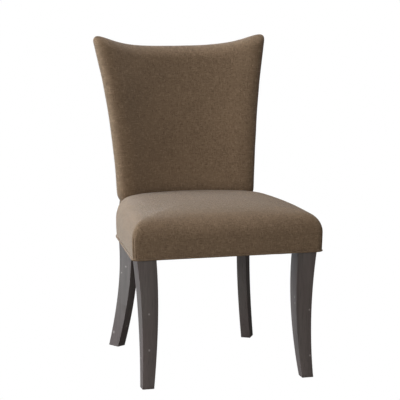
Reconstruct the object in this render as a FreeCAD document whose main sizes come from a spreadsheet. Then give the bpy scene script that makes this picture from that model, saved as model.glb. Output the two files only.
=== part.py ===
import FreeCAD, Part
import math
import os
import Sketcher

# Upholstered side chair, all sizes in mm.
# +Z is up, the chair faces -Y, and the origin is on the floor under the middle
# of the chair's box.  "left" is the -X side and "right" the +X side, as seen
# from the front.

V = FreeCAD.Vector
doc = FreeCAD.newDocument("chair")

# ---------------------------------------------------------------- dimensions
# The driving dimensions, one cell each.
DIMS = [
    # whole chair
    ("shift_y", 78.0),          # distance from the measuring plane to the box's middle
    ("post_turn", 31.0),        # turn of the rear posts about the vertical, degrees
    ("glide_gap", 1.5),         # how far the glides hold the feet off the floor
    # front leg: outer, inner, front and back faces at the top and the foot,
    # with the bow and the skew of each curve
    ("fl_h", 360.0),
    ("fl_out_top", 270.5), ("fl_out_foot", 261.8), ("fl_out_bow", -32.0), ("fl_out_skew", 3.9),
    ("fl_in_top", 214.2), ("fl_in_foot", 227.4), ("fl_in_bow", -33.9), ("fl_in_skew", 4.7),
    ("fl_fr_top", -314.6), ("fl_fr_foot", -328.0), ("fl_fr_bow", 24.9), ("fl_fr_skew", 15.0),
    ("fl_bk_top", -254.6), ("fl_bk_foot", -295.3), ("fl_bk_bow", 45.0), ("fl_bk_skew", -6.2),
    # rear leg: middle line and thickness in its own plane
    ("rl_mid_top", 305.5), ("rl_sweep", 56.2), ("rl_bow", -75.6), ("rl_skew", 35.6),
    ("rl_deep_top", 54.8), ("rl_deep_foot", 41.6), ("rl_wide", 30.3), ("rl_off", 40.9),
    ("rl_block", 48.0),
    # seat
    ("seat_front", -332.5), ("seat_half_front", 289.0), ("seat_taper", 0.0973),
    ("seat_side_ref", -313.5), ("seat_bottom", 382.5), ("seat_wall_top", 440.0),
    ("seat_corner", 14.0), ("seat_crown", 514.0),
    ("cover_t", 1.6), ("rail_inset", 6.5),
    # seat frame
    ("shoulder", 383.0), ("rail_t", 24.0), ("side_t", 22.0),
    ("rail_top", 445.0), ("side_rail_top", 446.2),
    ("rear_rail_in", 9.5), ("rear_rail_out", 12.5),
    # seat support
    ("web_wide", 50.0), ("web_t", 1.2), ("deck_t", 0.8), ("deck_z", 448.4),
    ("foam_inset", 7.0),
    # back: half thickness of the finished back and its layers, measured from
    # the middle surface, negative towards the sitter
    ("back_half", 33.0), ("layer_gap", 0.5),
    ("foam_front", -24.5), ("foam_back", -15.0), ("ply_front", -14.5), ("ply_back", -10.5),
    ("frame_front", -9.5), ("frame_back", 12.5), ("board_front", 13.5), ("board_back", 16.0),
    ("pad_front", 16.5), ("pad_back", 24.5),
    ("back_low", 532.0), ("ridge_drop", 4.0),
    ("crest_low", 885.0), ("crest_high", 934.0), ("lower_rail_low", 534.0), ("lower_rail_high", 584.0),
    # welt
    ("welt_d", 4.6), ("welt_in", 1.3),
    # fasteners
    ("dowel_d", 9.5), ("dowel_len", 38.0), ("bolt_d", 8.0), ("bolt_len", 82.0),
    ("screw_d", 4.5), ("screw_len", 48.0), ("screw_head_d", 9.0),
    ("glide_d", 22.0), ("glide_h", 4.5), ("glide_nail_d", 3.0), ("glide_nail_len", 16.0),
]
# Middle surface of the back at each level: height, and the x and y of the
# point where its right end starts to round off.
BACK = [
    (382.5, 191.5, 163.5), (450.0, 191.5, 163.8), (500.0, 192.2, 165.2), (540.0, 193.7, 167.6),
    (600.0, 197.3, 173.0), (690.0, 204.6, 183.9), (780.0, 215.5, 198.4), (870.0, 228.9, 215.4),
    (960.0, 246.1, 235.3), (1015.0, 256.4, 249.0),
]
# Top edge of the back: half width and height.
CREST = [(0.0, 963.0), (60.0, 963.6), (90.0, 964.8), (120.0, 967.0), (150.0, 970.2), (180.0, 975.2),
         (210.0, 982.6), (230.0, 988.6), (250.0, 994.4), (268.0, 998.6), (285.0, 1000.0), (300.0, 1000.2)]
for i, (bz, bx, by) in enumerate(BACK):
    DIMS += [("back_z_%s" % "abcdefghij"[i], bz), ("back_x_%s" % "abcdefghij"[i], bx), ("back_y_%s" % "abcdefghij"[i], by)]
for i, (cx, cz) in enumerate(CREST):
    DIMS += [("crest_x_%s" % "abcdefghijkl"[i], cx), ("crest_z_%s" % "abcdefghijkl"[i], cz)]

sheet = doc.addObject("Spreadsheet::Sheet", "Dims")
for row, (alias, value) in enumerate(DIMS, 1):
    sheet.set("A%d" % row, alias)
    sheet.set("B%d" % row, repr(float(value)))
    sheet.setAlias("B%d" % row, alias)
doc.recompute()


class Q:
    """A size with both its number and its formula in the sheet."""

    def __init__(self, text, value):
        self.text, self.value = text, float(value)

    @staticmethod
    def of(x):
        return x if isinstance(x, Q) else Q("(%r)" % float(x), x)

    def __add__(self, o):
        o = Q.of(o)
        return Q("(%s + %s)" % (self.text, o.text), self.value + o.value)

    def __sub__(self, o):
        o = Q.of(o)
        return Q("(%s - %s)" % (self.text, o.text), self.value - o.value)

    def __mul__(self, o):
        o = Q.of(o)
        return Q("(%s * %s)" % (self.text, o.text), self.value * o.value)

    def __truediv__(self, o):
        o = Q.of(o)
        return Q("(%s / %s)" % (self.text, o.text), self.value / o.value)

    def __radd__(self, o):
        return Q.of(o) + self

    def __rsub__(self, o):
        return Q.of(o) - self

    def __rmul__(self, o):
        return Q.of(o) * self

    def __neg__(self):
        return Q.of(0) - self


def D(alias):
    return Q("Dims." + alias, sheet.get(alias))


def N(alias):
    return float(sheet.get(alias))


def bind(obj, prop, q):
    obj.setExpression(prop, Q.of(q).text)


NODES = []          # (label, object) in the order they are written


def node(label, obj):
    obj.Label = label
    NODES.append((label, obj))
    return obj


def hidden(obj, label):
    obj.Label = label
    return obj


def plane(body, role):
    return [o for o in body.Origin.OriginFeatures if o.Role == role][0]


def closed_sketch(body, name, role, pts, offset):
    """Closed polygon sketch on one of the body's own planes, moved along the
    plane's normal by offset.  Every corner is dimensioned from the origin."""
    sk = body.newObject("Sketcher::SketchObject", name)
    sk.AttachmentSupport = [(plane(body, role), "")]
    sk.MapMode = "FlatFace"
    off = Q.of(offset)
    sk.AttachmentOffset = FreeCAD.Placement(V(0, 0, off.value), FreeCAD.Rotation())
    bind(sk, "AttachmentOffset.Base.z", off)
    pts = [(Q.of(x), Q.of(y)) for x, y in pts]
    n = len(pts)
    for k in range(n):
        a, b = pts[k], pts[(k + 1) % n]
        sk.addGeometry(Part.LineSegment(V(a[0].value, a[1].value, 0), V(b[0].value, b[1].value, 0)), False)
    for k in range(n):
        sk.addConstraint(Sketcher.Constraint("Coincident", k, 2, (k + 1) % n, 1))
    for k in range(n):
        for axis, q in (("X", pts[k][0]), ("Y", pts[k][1])):
            c = sk.addConstraint(Sketcher.Constraint("Distance" + axis, -1, 1, k, 1, q.value))
            sk.renameConstraint(c, "p%d%s" % (k, axis.lower()))
            sk.setExpression("Constraints.p%d%s" % (k, axis.lower()), q.text)
    return sk


def prism_on(body, name, pts, low, height):
    sk = closed_sketch(body, name + "_sketch", "XY_Plane", pts, low)
    pad = body.newObject("PartDesign::Pad", name + "_pad")
    pad.Profile = sk
    pad.Length = Q.of(height).value
    bind(pad, "Length", height)
    return pad


def prism(name, pts, low, height):
    """Body made by padding one closed polygon upwards."""
    body = doc.addObject("PartDesign::Body", name + "_body")
    prism_on(body, name, pts, low, height)
    return body


def cylinder(name, radius, height, base, direction):
    """Cylinder of that radius and height from base along direction."""
    c = doc.addObject("Part::Cylinder", name)
    bind(c, "Radius", radius)
    bind(c, "Height", height)
    c.Placement = FreeCAD.Placement(V(*base), FreeCAD.Rotation(V(0, 0, 1), V(*direction)))
    return c


def compound(name, objs):
    c = doc.addObject("Part::Compound", name)
    c.Links = objs
    return c


def fused(name, objs):
    c = doc.addObject("Part::MultiFuse", name)
    c.Shapes = objs
    return c


def cut(name, base, tools):
    """base with the tools taken away."""
    tool = tools[0] if len(tools) == 1 else compound(name + "_tools", tools)
    c = doc.addObject("Part::Cut", name)
    c.Base = base
    c.Tool = tool
    return c


def feature(name, shape):
    f = doc.addObject("Part::Feature", name)
    f.Shape = shape
    return f


# ---------------------------------------------------------------- the back's surfaces
TURN = math.radians(N("post_turn"))
SN, CS = math.sin(TURN), math.cos(TURN)
KNOTS = [(N("back_z_" + k), N("back_x_" + k), N("back_y_" + k)) for k in "abcdefghij"]


def smooth_levels(heights):
    """The back's levels read off smooth curves through the given ones."""
    out = []
    for z in heights:
        vals = []
        for c in (1, 2):
            # cubic through the points, with slopes taken from the neighbours
            n = len(KNOTS)
            slope = []
            for i in range(n):
                a, b = KNOTS[max(i - 1, 0)], KNOTS[min(i + 1, n - 1)]
                slope.append((b[c] - a[c]) / (b[0] - a[0]))
            for i in range(n - 1):
                if z <= KNOTS[i + 1][0] or i == n - 2:
                    break
            h0, h1 = KNOTS[i], KNOTS[i + 1]
            w = h1[0] - h0[0]
            t = (z - h0[0]) / w
            vals.append(h0[c] * (2 * t ** 3 - 3 * t ** 2 + 1) + slope[i] * w * (t ** 3 - 2 * t ** 2 + t)
                        + h1[c] * (3 * t ** 2 - 2 * t ** 3) + slope[i + 1] * w * (t ** 3 - t ** 2))
        out.append((z, vals[0], vals[1]))
    return out


LEVELS = smooth_levels([382.5, 450.0, 480.0, 510.0, 540.0, 570.0, 600.0, 645.0, 690.0, 735.0, 780.0,
                        825.0, 870.0, 915.0, 960.0, 1015.0])


def section(z, x, y, o1, o2, extend=None):
    """Closed plan section of the back between the offsets o1 (front) and o2
    (rear) from its middle arc.  Without extend the ends are full rounds."""
    radius = x / SN
    y0 = y - radius * CS

    def on(r, a):
        return V(r * math.sin(a), y0 + r * math.cos(a), z)

    ri, ro = radius + o1, radius + o2
    if extend is None:
        t = TURN
        front = Part.Arc(on(ri, -t), on(ri, 0), on(ri, t)).toShape()
        rear = Part.Arc(on(ro, t), on(ro, 0), on(ro, -t)).toShape()
        rm, h = (ri + ro) / 2, (ro - ri) / 2
        end_r = on(rm, t) + V(CS, -SN, 0) * h
        end_l = on(rm, -t) + V(-CS, -SN, 0) * h
        right = Part.Arc(on(ri, t), end_r, on(ro, t)).toShape()
        left = Part.Arc(on(ro, -t), end_l, on(ri, -t)).toShape()
    else:
        t = TURN + extend / radius
        front = Part.Arc(on(ri, -t), on(ri, 0), on(ri, t)).toShape()
        rear = Part.Arc(on(ro, t), on(ro, 0), on(ro, -t)).toShape()
        right = Part.LineSegment(on(ri, t), on(ro, t)).toShape()
        left = Part.LineSegment(on(ro, -t), on(ri, -t)).toShape()
    return Part.Wire([front, right, rear, left])


def back_loft(o1, o2, extend=None):
    return Part.makeLoft([section(z, x, y, o1, o2, extend) for z, x, y in LEVELS], True, True)


def crest_tool(drop, low):
    """Everything under the top edge line, lowered by drop, and over low."""
    half = [(N("crest_x_" + k), N("crest_z_" + k)) for k in "abcdefghijkl"]
    line = [V(-x, -200, z - drop) for x, z in reversed(half[1:])] + [V(x, -200, z - drop) for x, z in half]
    curve = Part.BSplineCurve()
    curve.interpolate(line)
    a, b = line[0], line[-1]
    wire = Part.Wire([
        curve.toShape(),
        Part.LineSegment(b, V(b.x, -200, low)).toShape(),
        Part.LineSegment(V(b.x, -200, low), V(a.x, -200, low)).toShape(),
        Part.LineSegment(V(a.x, -200, low), a).toShape(),
    ])
    return Part.Face(wire).extrude(V(0, 700, 0))


def back_band(o1, o2, extend, drop, low):
    return back_loft(o1, o2, extend).common(crest_tool(drop, low))


def one_solid(shape):
    """The largest solid of a shape."""
    return max(shape.Solids, key=lambda s: s.Volume)


# ---------------------------------------------------------------- front legs
def curve_at(key, s):
    """One face of the front leg at s, 0 at the top of the curve and 1 at the foot."""
    a, b = D("fl_%s_top" % key), D("fl_%s_foot" % key)
    return a + (b - a) * s + D("fl_%s_bow" % key) * (s * (1 - s)) + D("fl_%s_skew" % key) * (s * (1 - s) * (s - 0.5))


def side_x(y, inset):
    """Outer half width of the seat at y, less inset."""
    return D("seat_half_front") - D("seat_taper") * (Q.of(y) - D("seat_side_ref")) - inset


def front_leg(label, sign):
    body = doc.addObject("PartDesign::Body", label + "_body")
    rings = []
    for k, s in enumerate((-0.063889, 0.1, 0.3, 0.5, 0.7, 0.9, 1.0)):
        z = D("fl_h") * (1 - s)
        if s == 1.0:
            z = z + D("glide_gap")
        if k == 0:
            z = D("shoulder")
        xo, xi, yf, yb = (curve_at(c, s) for c in ("out", "in", "fr", "bk"))
        pts = [(xi * sign, yf), (xo * sign, yf), (xo * sign, yb), (xi * sign, yb)]
        rings.append(closed_sketch(body, "%s_ring%d" % (label, k), "XY_Plane", pts, z))
    loft = body.newObject("PartDesign::AdditiveLoft", label + "_loft")
    loft.Profile = rings[0]
    loft.Sections = rings[1:]
    loft.Ruled = False
    # block above the shoulder, inside the corner of the seat frame
    yr = D("seat_front") + D("rail_inset") + D("rail_t")
    yb = D("fl_bk_top") - 2.4
    xi = curve_at("in", 0) + 1.8
    pts = [(xi * sign, yr), (side_x(yr, D("rail_inset") + D("side_t")) * sign, yr),
           (side_x(yb, D("rail_inset") + D("side_t")) * sign, yb), (xi * sign, yb)]
    prism_on(body, label + "_block", pts, D("shoulder") - 0.0, D("rail_top") - D("shoulder") - 4)
    return body


raw = {}
for side, sign in (("left", -1), ("right", 1)):
    raw["front_leg_" + side] = front_leg("front_leg_" + side, sign)

# ---------------------------------------------------------------- rear legs
# Each is sawn from one board that stands in a vertical plane turned with the
# back, from the floor to the top of the back.


def mid_of_back(z):
    """Distance of the back's middle surface along the post's plane."""
    for (z0, x0, y0), (z1, x1, y1) in zip(LEVELS, LEVELS[1:]):
        if z <= z1:
            t = (z - z0) / (z1 - z0)
            break
    x, y = x0 + (x1 - x0) * t, y0 + (y1 - y0) * t
    return x * SN + (y + N("shift_y")) * CS


def rear_leg(label, sign):
    body = doc.addObject("PartDesign::Body", label + "_body")
    sk = body.newObject("Sketcher::SketchObject", label + "_sketch")
    sk.AttachmentSupport = [(plane(body, "XZ_Plane"), "")]
    sk.MapMode = "FlatFace"

    def leg(s, side):
        mid = (N("rl_mid_top") + N("rl_sweep") * s + N("rl_bow") * s * (1 - s)
               + N("rl_skew") * s * (1 - s) * (s - 0.5))
        deep = N("rl_deep_top") + (N("rl_deep_foot") - N("rl_deep_top")) * s
        z = N("fl_h") * (1 - s) if s < 1 else N("glide_gap")
        return V(mid + side * deep / 2, z, 0)

    steps = (1.0, 0.85, 0.7, 0.55, 0.4, 0.25, 0.1, -0.063889)
    rear_low = [leg(s, 1) for s in steps]
    front_low = [leg(s, -1) for s in steps]
    sh, half = N("shoulder"), N("rl_block") / 2
    mid = mid_of_back(430)
    rear_low[-1].y = front_low[-1].y = sh
    zs = (520, 560, 620, 690, 760, 830, 900, 968)
    rear_up = [V(mid + half, sh, 0), V(mid + half, 462, 0)]
    front_up = [V(mid - half, sh, 0), V(mid - half, 462, 0)]
    rear_post = [V(mid_of_back(z) + N("frame_back"), z, 0) for z in zs]
    front_post = [V(mid_of_back(z) + N("frame_front") + 0.2, z, 0) for z in zs]

    def spline(pts):
        c = Part.BSplineCurve()
        c.interpolate(pts)
        return c

    def line(a, b):
        return Part.LineSegment(a, b)

    edges = [
        spline(rear_low),
        line(rear_low[-1], rear_up[0]),
        line(rear_up[0], rear_up[1]),
        line(rear_up[1], rear_post[0]),
        spline(rear_post),
        line(rear_post[-1], front_post[-1]),
        spline(list(reversed(front_post))),
        line(front_post[0], front_up[1]),
        line(front_up[1], front_up[0]),
        line(front_up[0], front_low[-1]),
        spline(list(reversed(front_low))),
        line(front_low[0], rear_low[0]),
    ]
    for e in edges:
        sk.addGeometry(e, False)
    pad = body.newObject("PartDesign::Pad", label + "_pad")
    pad.Profile = sk
    pad.SideType = "Symmetric"
    bind(pad, "Length", D("rl_wide"))
    # the plane's normal is the body's -Y
    bind(sk, "AttachmentOffset.Base.z", D("rl_off") * sign)
    body.Placement = FreeCAD.Placement(V(0, -N("shift_y"), 0), FreeCAD.Rotation(V(0, 0, 1), 90 - sign * N("post_turn")))
    return body


for side, sign in (("left", -1), ("right", 1)):
    raw["rear_leg_" + side] = rear_leg("rear_leg_" + side, sign)

# ---------------------------------------------------------------- seat frame
rail_front = D("seat_front") + D("rail_inset")
rail_rear = rail_front + D("rail_t")
ease = 6.0
raw["front_rail"] = prism("front_rail", [
    (-side_x(rail_front + ease, D("rail_inset")), rail_front + ease), (-side_x(rail_front, D("rail_inset")) + ease, rail_front),
    (side_x(rail_front, D("rail_inset")) - ease, rail_front), (side_x(rail_front + ease, D("rail_inset")), rail_front + ease),
    (side_x(rail_rear, D("rail_inset")), rail_rear), (-side_x(rail_rear, D("rail_inset")), rail_rear)],
    D("shoulder"), D("rail_top") - D("shoulder"))

for side, sign in (("left", -1), ("right", 1)):
    ins = D("rail_inset")
    ins2 = ins + D("side_t")
    # the rear end is sawn in a sweep to lap the outer face of the rear post
    pts = [(side_x(rail_rear, ins), rail_rear), (side_x(30, ins), Q.of(30)), (Q.of(239.0), Q.of(74)),
           (Q.of(223.8), Q.of(112)), (Q.of(210.5), Q.of(140)), (Q.of(203.0), Q.of(154)), (Q.of(190.0), Q.of(136)),
           (Q.of(193.0), Q.of(128)), (Q.of(214.0), Q.of(80)), (side_x(30, ins2), Q.of(30)),
           (side_x(rail_rear, ins2), rail_rear)]
    raw["side_rail_" + side] = prism("side_rail_" + side, [(x * sign, y) for x, y in pts],
                                     D("shoulder"), D("side_rail_top") - D("shoulder"))

# rear rail: sector of a ring about the back's own centre at seat height
r_mid = D("back_x_b") / SN
y_mid = D("back_y_b") - r_mid * CS
for nm, rad in (("outer", r_mid + D("rear_rail_out")), ("inner", r_mid - D("rear_rail_in"))):
    c = doc.addObject("Part::Cylinder", "rear_rail_" + nm)
    bind(c, "Radius", rad)
    bind(c, "Height", D("rail_top") - D("shoulder"))
    bind(c, "Placement.Base.y", y_mid)
    bind(c, "Placement.Base.z", D("shoulder"))
    bind(c, "Angle", D("post_turn") * 2)
    if nm == "inner":
        bind(c, "Angle", D("post_turn") * 2 + 20)
        c.Placement.Rotation = FreeCAD.Rotation(V(0, 0, 1), 90 - N("post_turn") - 10)
    else:
        c.Placement.Rotation = FreeCAD.Rotation(V(0, 0, 1), 90 - N("post_turn"))
    raw["ring_" + nm] = c
raw["rear_rail"] = cut("rear_rail_ring", raw["ring_outer"], [raw["ring_inner"]])

for side, sign in (("left", -1), ("right", 1)):
    yr, yb = rail_rear, D("fl_bk_top") - 2.4
    xi = curve_at("in", 0) + 1.8
    ins2 = D("rail_inset") + D("side_t")
    pts = [(xi - 84, yr), (xi - 0.6, yr), (xi - 0.6, yb + 0.6), (side_x(yb + 0.6, ins2), yb + 0.6),
           (side_x(yb + 86, ins2), yb + 86)]
    raw["corner_block_front_" + side] = prism("corner_block_front_" + side, [(x * sign, y) for x, y in pts],
                                              D("shoulder") + 6, D("rail_top") - D("shoulder") - 12)
    pts = [(226, 50), (222, 85), (200, 128), (192, 140), (150, 182), (82, 206)]
    raw["corner_block_rear_" + side] = prism("corner_block_rear_" + side, [(x * sign, y) for x, y in pts],
                                             D("shoulder") + 6, D("rail_top") - D("shoulder") - 18)

# ---------------------------------------------------------------- fasteners
dowel_r, dowel_len = D("dowel_d") / 2, D("dowel_len")


def post_point(sign, out, along, z):
    """Point by its distance out across the post and along the post's plane."""
    return (sign * (out * CS + along * SN), along * CS - out * SN - N("shift_y"), z)


def out_dir(sign):
    return (sign * CS, -SN, 0)


dowels = {"front_rail": [], "rear_rail": [], "lower_back_rail": [], "crest_rail": []}
half_len = N("dowel_len") / 2
for side, sign in (("left", -1), ("right", 1)):
    for z in (400.0, 428.0):
        x = N("seat_half_front") - N("rail_inset") - N("side_t") / 2 - 1.2
        dowels["front_rail"].append(cylinder("dowel_f_%s_%d" % (side, z), dowel_r, dowel_len,
                                             (sign * x, rail_rear.value - half_len + 1, z), (0, 1, 0)))
        inner = N("rl_off") - N("rl_wide") / 2
        b = post_point(sign, inner - half_len, mid_of_back(430) + 1.5, z)
        dowels["rear_rail"].append(cylinder("dowel_r_%s_%d" % (side, z), dowel_r, dowel_len, b, out_dir(sign)))
    for key, zz in (("lower_back_rail", (546.0, 572.0)), ("crest_rail", (897.0, 922.0))):
        for z in zz:
            b = post_point(sign, inner - half_len, mid_of_back(z) + 1.5, z)
            dowels[key].append(cylinder("dowel_%s_%s_%d" % (key[0], side, z), dowel_r, dowel_len, b, out_dir(sign)))
all_dowels = [d for k in ("front_rail", "rear_rail", "lower_back_rail", "crest_rail") for d in dowels[k]]

bolts, washers, nuts = {"left": [], "right": []}, {"left": [], "right": []}, {"left": [], "right": []}
yb0 = N("fl_bk_top") - 2.4
xi0 = N("fl_in_top") + 1.8
ins20 = N("rail_inset") + N("side_t")


def xside(y, inset):
    return N("seat_half_front") - N("seat_taper") * (y - N("seat_side_ref")) - inset


pa = V(xi0 - 84, rail_rear.value, 0)
pb = V(xside(yb0 + 86, ins20), yb0 + 86, 0)
along = (pb - pa).normalize()
normal = V(-along.y, along.x, 0)                    # out of the block's diagonal face
corner = V(xi0, yb0, 0)
foot = pa + along * (corner - pa).dot(along)        # under the leg's inner corner on that face
for side, sign in (("left", -1), ("right", 1)):
    for z in (402.0, 426.0):
        n = (sign * normal.x, normal.y, 0)
        start = foot + normal * (14.0 - N("bolt_len"))
        bolts[side].append(cylinder("bolt_%s_%d" % (side, z), D("bolt_d") / 2, D("bolt_len"),
                                    (sign * start.x, start.y, z), n))
        w = foot
        ring = cylinder("washer_%s_%d" % (side, z), 11.0, 1.6, (sign * w.x, w.y, z), n)
        washers[side].append(ring)
        nb = foot + normal * 1.6
        prismn = doc.addObject("Part::Prism", "nut_%s_%d" % (side, z))
        prismn.Polygon = 6
        prismn.Circumradius = 7.5
        prismn.Height = 6.5
        prismn.Placement = FreeCAD.Placement(V(sign * nb.x, nb.y, z), FreeCAD.Rotation(V(0, 0, 1), V(*n)))
        nuts[side].append(prismn)
washer_nodes, nut_nodes = [], []
for side in ("left", "right"):
    for k in (0, 1):
        washer_nodes.append(cut("washer_cut_%s_%d" % (side, k), washers[side][k], [bolts[side][k]]))
        nut_nodes.append(cut("nut_cut_%s_%d" % (side, k), nuts[side][k], [bolts[side][k]]))


def screw(name, head, direction, length, access):
    """Round-head wood screw with its head at head; the third part is the
    clearance hole behind the head, which is only cut out of the block."""
    d = V(*direction).normalize()
    shank = cylinder(name + "_shank", D("screw_d") / 2, length, head, tuple(d))
    cap = cylinder(name + "_head", D("screw_head_d") / 2, 3.0, tuple(V(*head) - d * 3.0), tuple(d))
    way = cylinder(name + "_way", D("screw_head_d") / 2 + 0.6, access, tuple(V(*head) - d * (3.0 + access)), tuple(d))
    hole = cylinder(name + "_seat", D("screw_head_d") / 2 + 0.01, 3.0, tuple(V(*head) - d * 3.0), tuple(d))
    return fused(name, [shank, cap]), way, hole


block_screws = []
block_tools = {}
for side, sign in (("left", -1), ("right", 1)):
    tools = []
    fx = xi0 - 52
    s1 = screw("screw_f1_" + side, (sign * fx, rail_rear.value + 14, 414.0), (0, -1, 0), 34.0, 30.0)
    sy = yb0 + 50
    s2 = screw("screw_f2_" + side, (sign * (xside(sy, ins20) - 16), sy, 414.0), (sign, 0, 0), 34.0, 30.0)
    block_tools["front_" + side] = [s1, s2]
    # rear block: one into the side rail, one into the rear rail
    s3 = screw("screw_r1_" + side, (sign * 196.0, 84.0, 414.0), (sign * 0.93, 0.37, 0), 34.0, 40.0)
    s4 = screw("screw_r2_" + side, (sign * 126.0, 168.0, 414.0), (sign * 0.33, 0.944, 0), 34.0, 40.0)
    block_tools["rear_" + side] = [s3, s4]
    block_screws += [s1[0], s2[0], s3[0], s4[0]]

post_screws = []
for side, sign in (("left", -1), ("right", 1)):
    for z in (402.0, 428.0):
        outer = N("rl_off") + N("rl_wide") / 2
        b = post_point(sign, outer + 9.0, 293.0, z)
        d = (-sign * CS, SN, 0)
        shank = cylinder("post_screw_%s_%d_shank" % (side, z), D("screw_d") / 2 + 0.5, 34.0, b, d)
        hb = V(*b) - V(*d) * 3.5
        cap = cylinder("post_screw_%s_%d_head" % (side, z), 6.0, 3.5, tuple(hb), d)
        way = cylinder("post_screw_%s_%d_way" % (side, z), 6.6, 30.0, tuple(hb - V(*d) * 30.0), d)
        post_screws.append((side, fused("post_screw_%s_%d" % (side, z), [shank, cap]), way))

# foot glides: a disc with a nail up into the end of each leg
glides = []
feet = []
for side, sign in (("left", -1), ("right", 1)):
    fxm = (N("fl_out_foot") + N("fl_in_foot")) / 2
    fym = (N("fl_fr_foot") + N("fl_bk_foot")) / 2
    feet.append(("front_" + side, (sign * fxm, fym)))
    px = post_point(sign, N("rl_off"), N("rl_mid_top") + N("rl_sweep"), 0)
    feet.append(("rear_" + side, (px[0], px[1])))
glide_of = {}
for nm, (x, y) in feet:
    disc = cylinder("glide_disc_" + nm, D("glide_d") / 2, D("glide_h"), (x, y, 0), (0, 0, 1))
    nail = cylinder("glide_nail_" + nm, D("glide_nail_d") / 2, D("glide_nail_len"), (x, y, 0), (0, 0, 1))
    glide_of[nm] = fused("glide_" + nm, [disc, nail])
    glides.append(glide_of[nm])

# ---------------------------------------------------------------- webbing
straps_y, straps_x = [], []
web_z = D("rail_top")
for k, x in enumerate((-126.0, -42.0, 42.0, 126.0)):
    radius = N("back_x_b") / SN
    yc = N("back_y_b") - radius * CS
    y_end = yc + math.sqrt((radius + 8.0) ** 2 - (abs(x) + N("web_wide") / 2) ** 2)
    b = doc.addObject("Part::Box", "strap_long_%d" % k)
    bind(b, "Length", D("web_wide"))
    bind(b, "Width", Q.of(y_end - (rail_front.value + 4)))
    bind(b, "Height", D("web_t"))
    b.Placement.Base = V(x - N("web_wide") / 2, rail_front.value + 4, 0)
    bind(b, "Placement.Base.z", web_z)
    straps_y.append((b, x, rail_front.value + 4, y_end))
for k, y in enumerate((-235.0, -150.0, -65.0, 20.0)):
    x_end = xside(y + N("web_wide") / 2, N("rail_inset")) - 4
    b = doc.addObject("Part::Box", "strap_cross_%d" % k)
    bind(b, "Width", D("web_wide"))
    bind(b, "Length", Q.of(2 * x_end))
    bind(b, "Height", D("web_t"))
    b.Placement.Base = V(-x_end, y - N("web_wide") / 2, 0)
    bind(b, "Placement.Base.z", D("side_rail_top"))
    straps_x.append((b, y, x_end))

tacks_long, tacks_cross = {"front": [], "rear": []}, {"left": [], "right": []}


def tack(name, x, y, top):
    head = cylinder(name + "_head", 4.0, 0.9, (x, y, top), (0, 0, 1))
    pin = cylinder(name + "_pin", 1.0, 11.0, (x, y, top - 11.0), (0, 0, 1))
    return fused(name, [head, pin])


for k, (b, x, y0, y1) in enumerate(straps_y):
    for m, dx in enumerate((-14.0, 14.0)):
        top = N("rail_top") + N("web_t")
        tacks_long["front"].append(tack("tack_f_%d_%d" % (k, m), x + dx, y0 + 8, top))
        tacks_long["rear"].append(tack("tack_r_%d_%d" % (k, m), x + dx, y1 - 6, top))
for k, (b, y, x1) in enumerate(straps_x):
    for m, dy in enumerate((-14.0, 14.0)):
        top = N("side_rail_top") + N("web_t")
        tacks_cross["right"].append(tack("tack_x_%d_%d" % (k, m), x1 - 8, y + dy, top))
        tacks_cross["left"].append(tack("tack_y_%d_%d" % (k, m), -x1 + 8, y + dy, top))

# ---------------------------------------------------------------- dust cover staples
staples = []
staple_at = []
for x in (-150.0, -75.0, 0.0, 75.0, 150.0):
    staple_at.append((x, rail_front.value + 14, 0, "front_rail"))
for y in (-200.0, -110.0, -20.0):
    for sgn, nm in ((-1, "side_rail_left"), (1, "side_rail_right")):
        staple_at.append((sgn * (xside(y, N("rail_inset")) - 12), y, 90, nm))
for a in (-20, 0, 20):
    radius = N("back_x_b") / SN
    yc = N("back_y_b") - radius * CS
    t = math.radians(a)
    staple_at.append((radius * math.sin(t), yc + radius * math.cos(t), -a, "rear_rail"))
staples_of = {}
dust_z = N("shoulder") - 1.2
for k, (x, y, ang, owner) in enumerate(staple_at):
    parts = []
    for nm, w, hgt, px, pz in (("crown", 10.0, 0.7, -5.0, -0.7), ("leg_a", 1.0, 8.7, -5.0, -0.7), ("leg_b", 1.0, 8.7, 4.0, -0.7)):
        b = doc.addObject("Part::Box", "staple_%d_%s" % (k, nm))
        b.Length, b.Width, b.Height = w, 1.0, hgt
        rot = FreeCAD.Rotation(V(0, 0, 1), ang)
        b.Placement = FreeCAD.Placement(V(x, y, dust_z) + rot.multVec(V(px, -0.5, pz)), rot)
        parts.append(b)
    f = fused("staple_%d" % k, parts)
    staples.append(f)
    staples_of.setdefault(owner, []).append(f)

doc.recompute()

# ---------------------------------------------------------------- seat forms
RIGHT = [(0.0, None), (60.0, None), (120.0, None), (180.0, None), (230.0, None), (262.0, None)]


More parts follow.
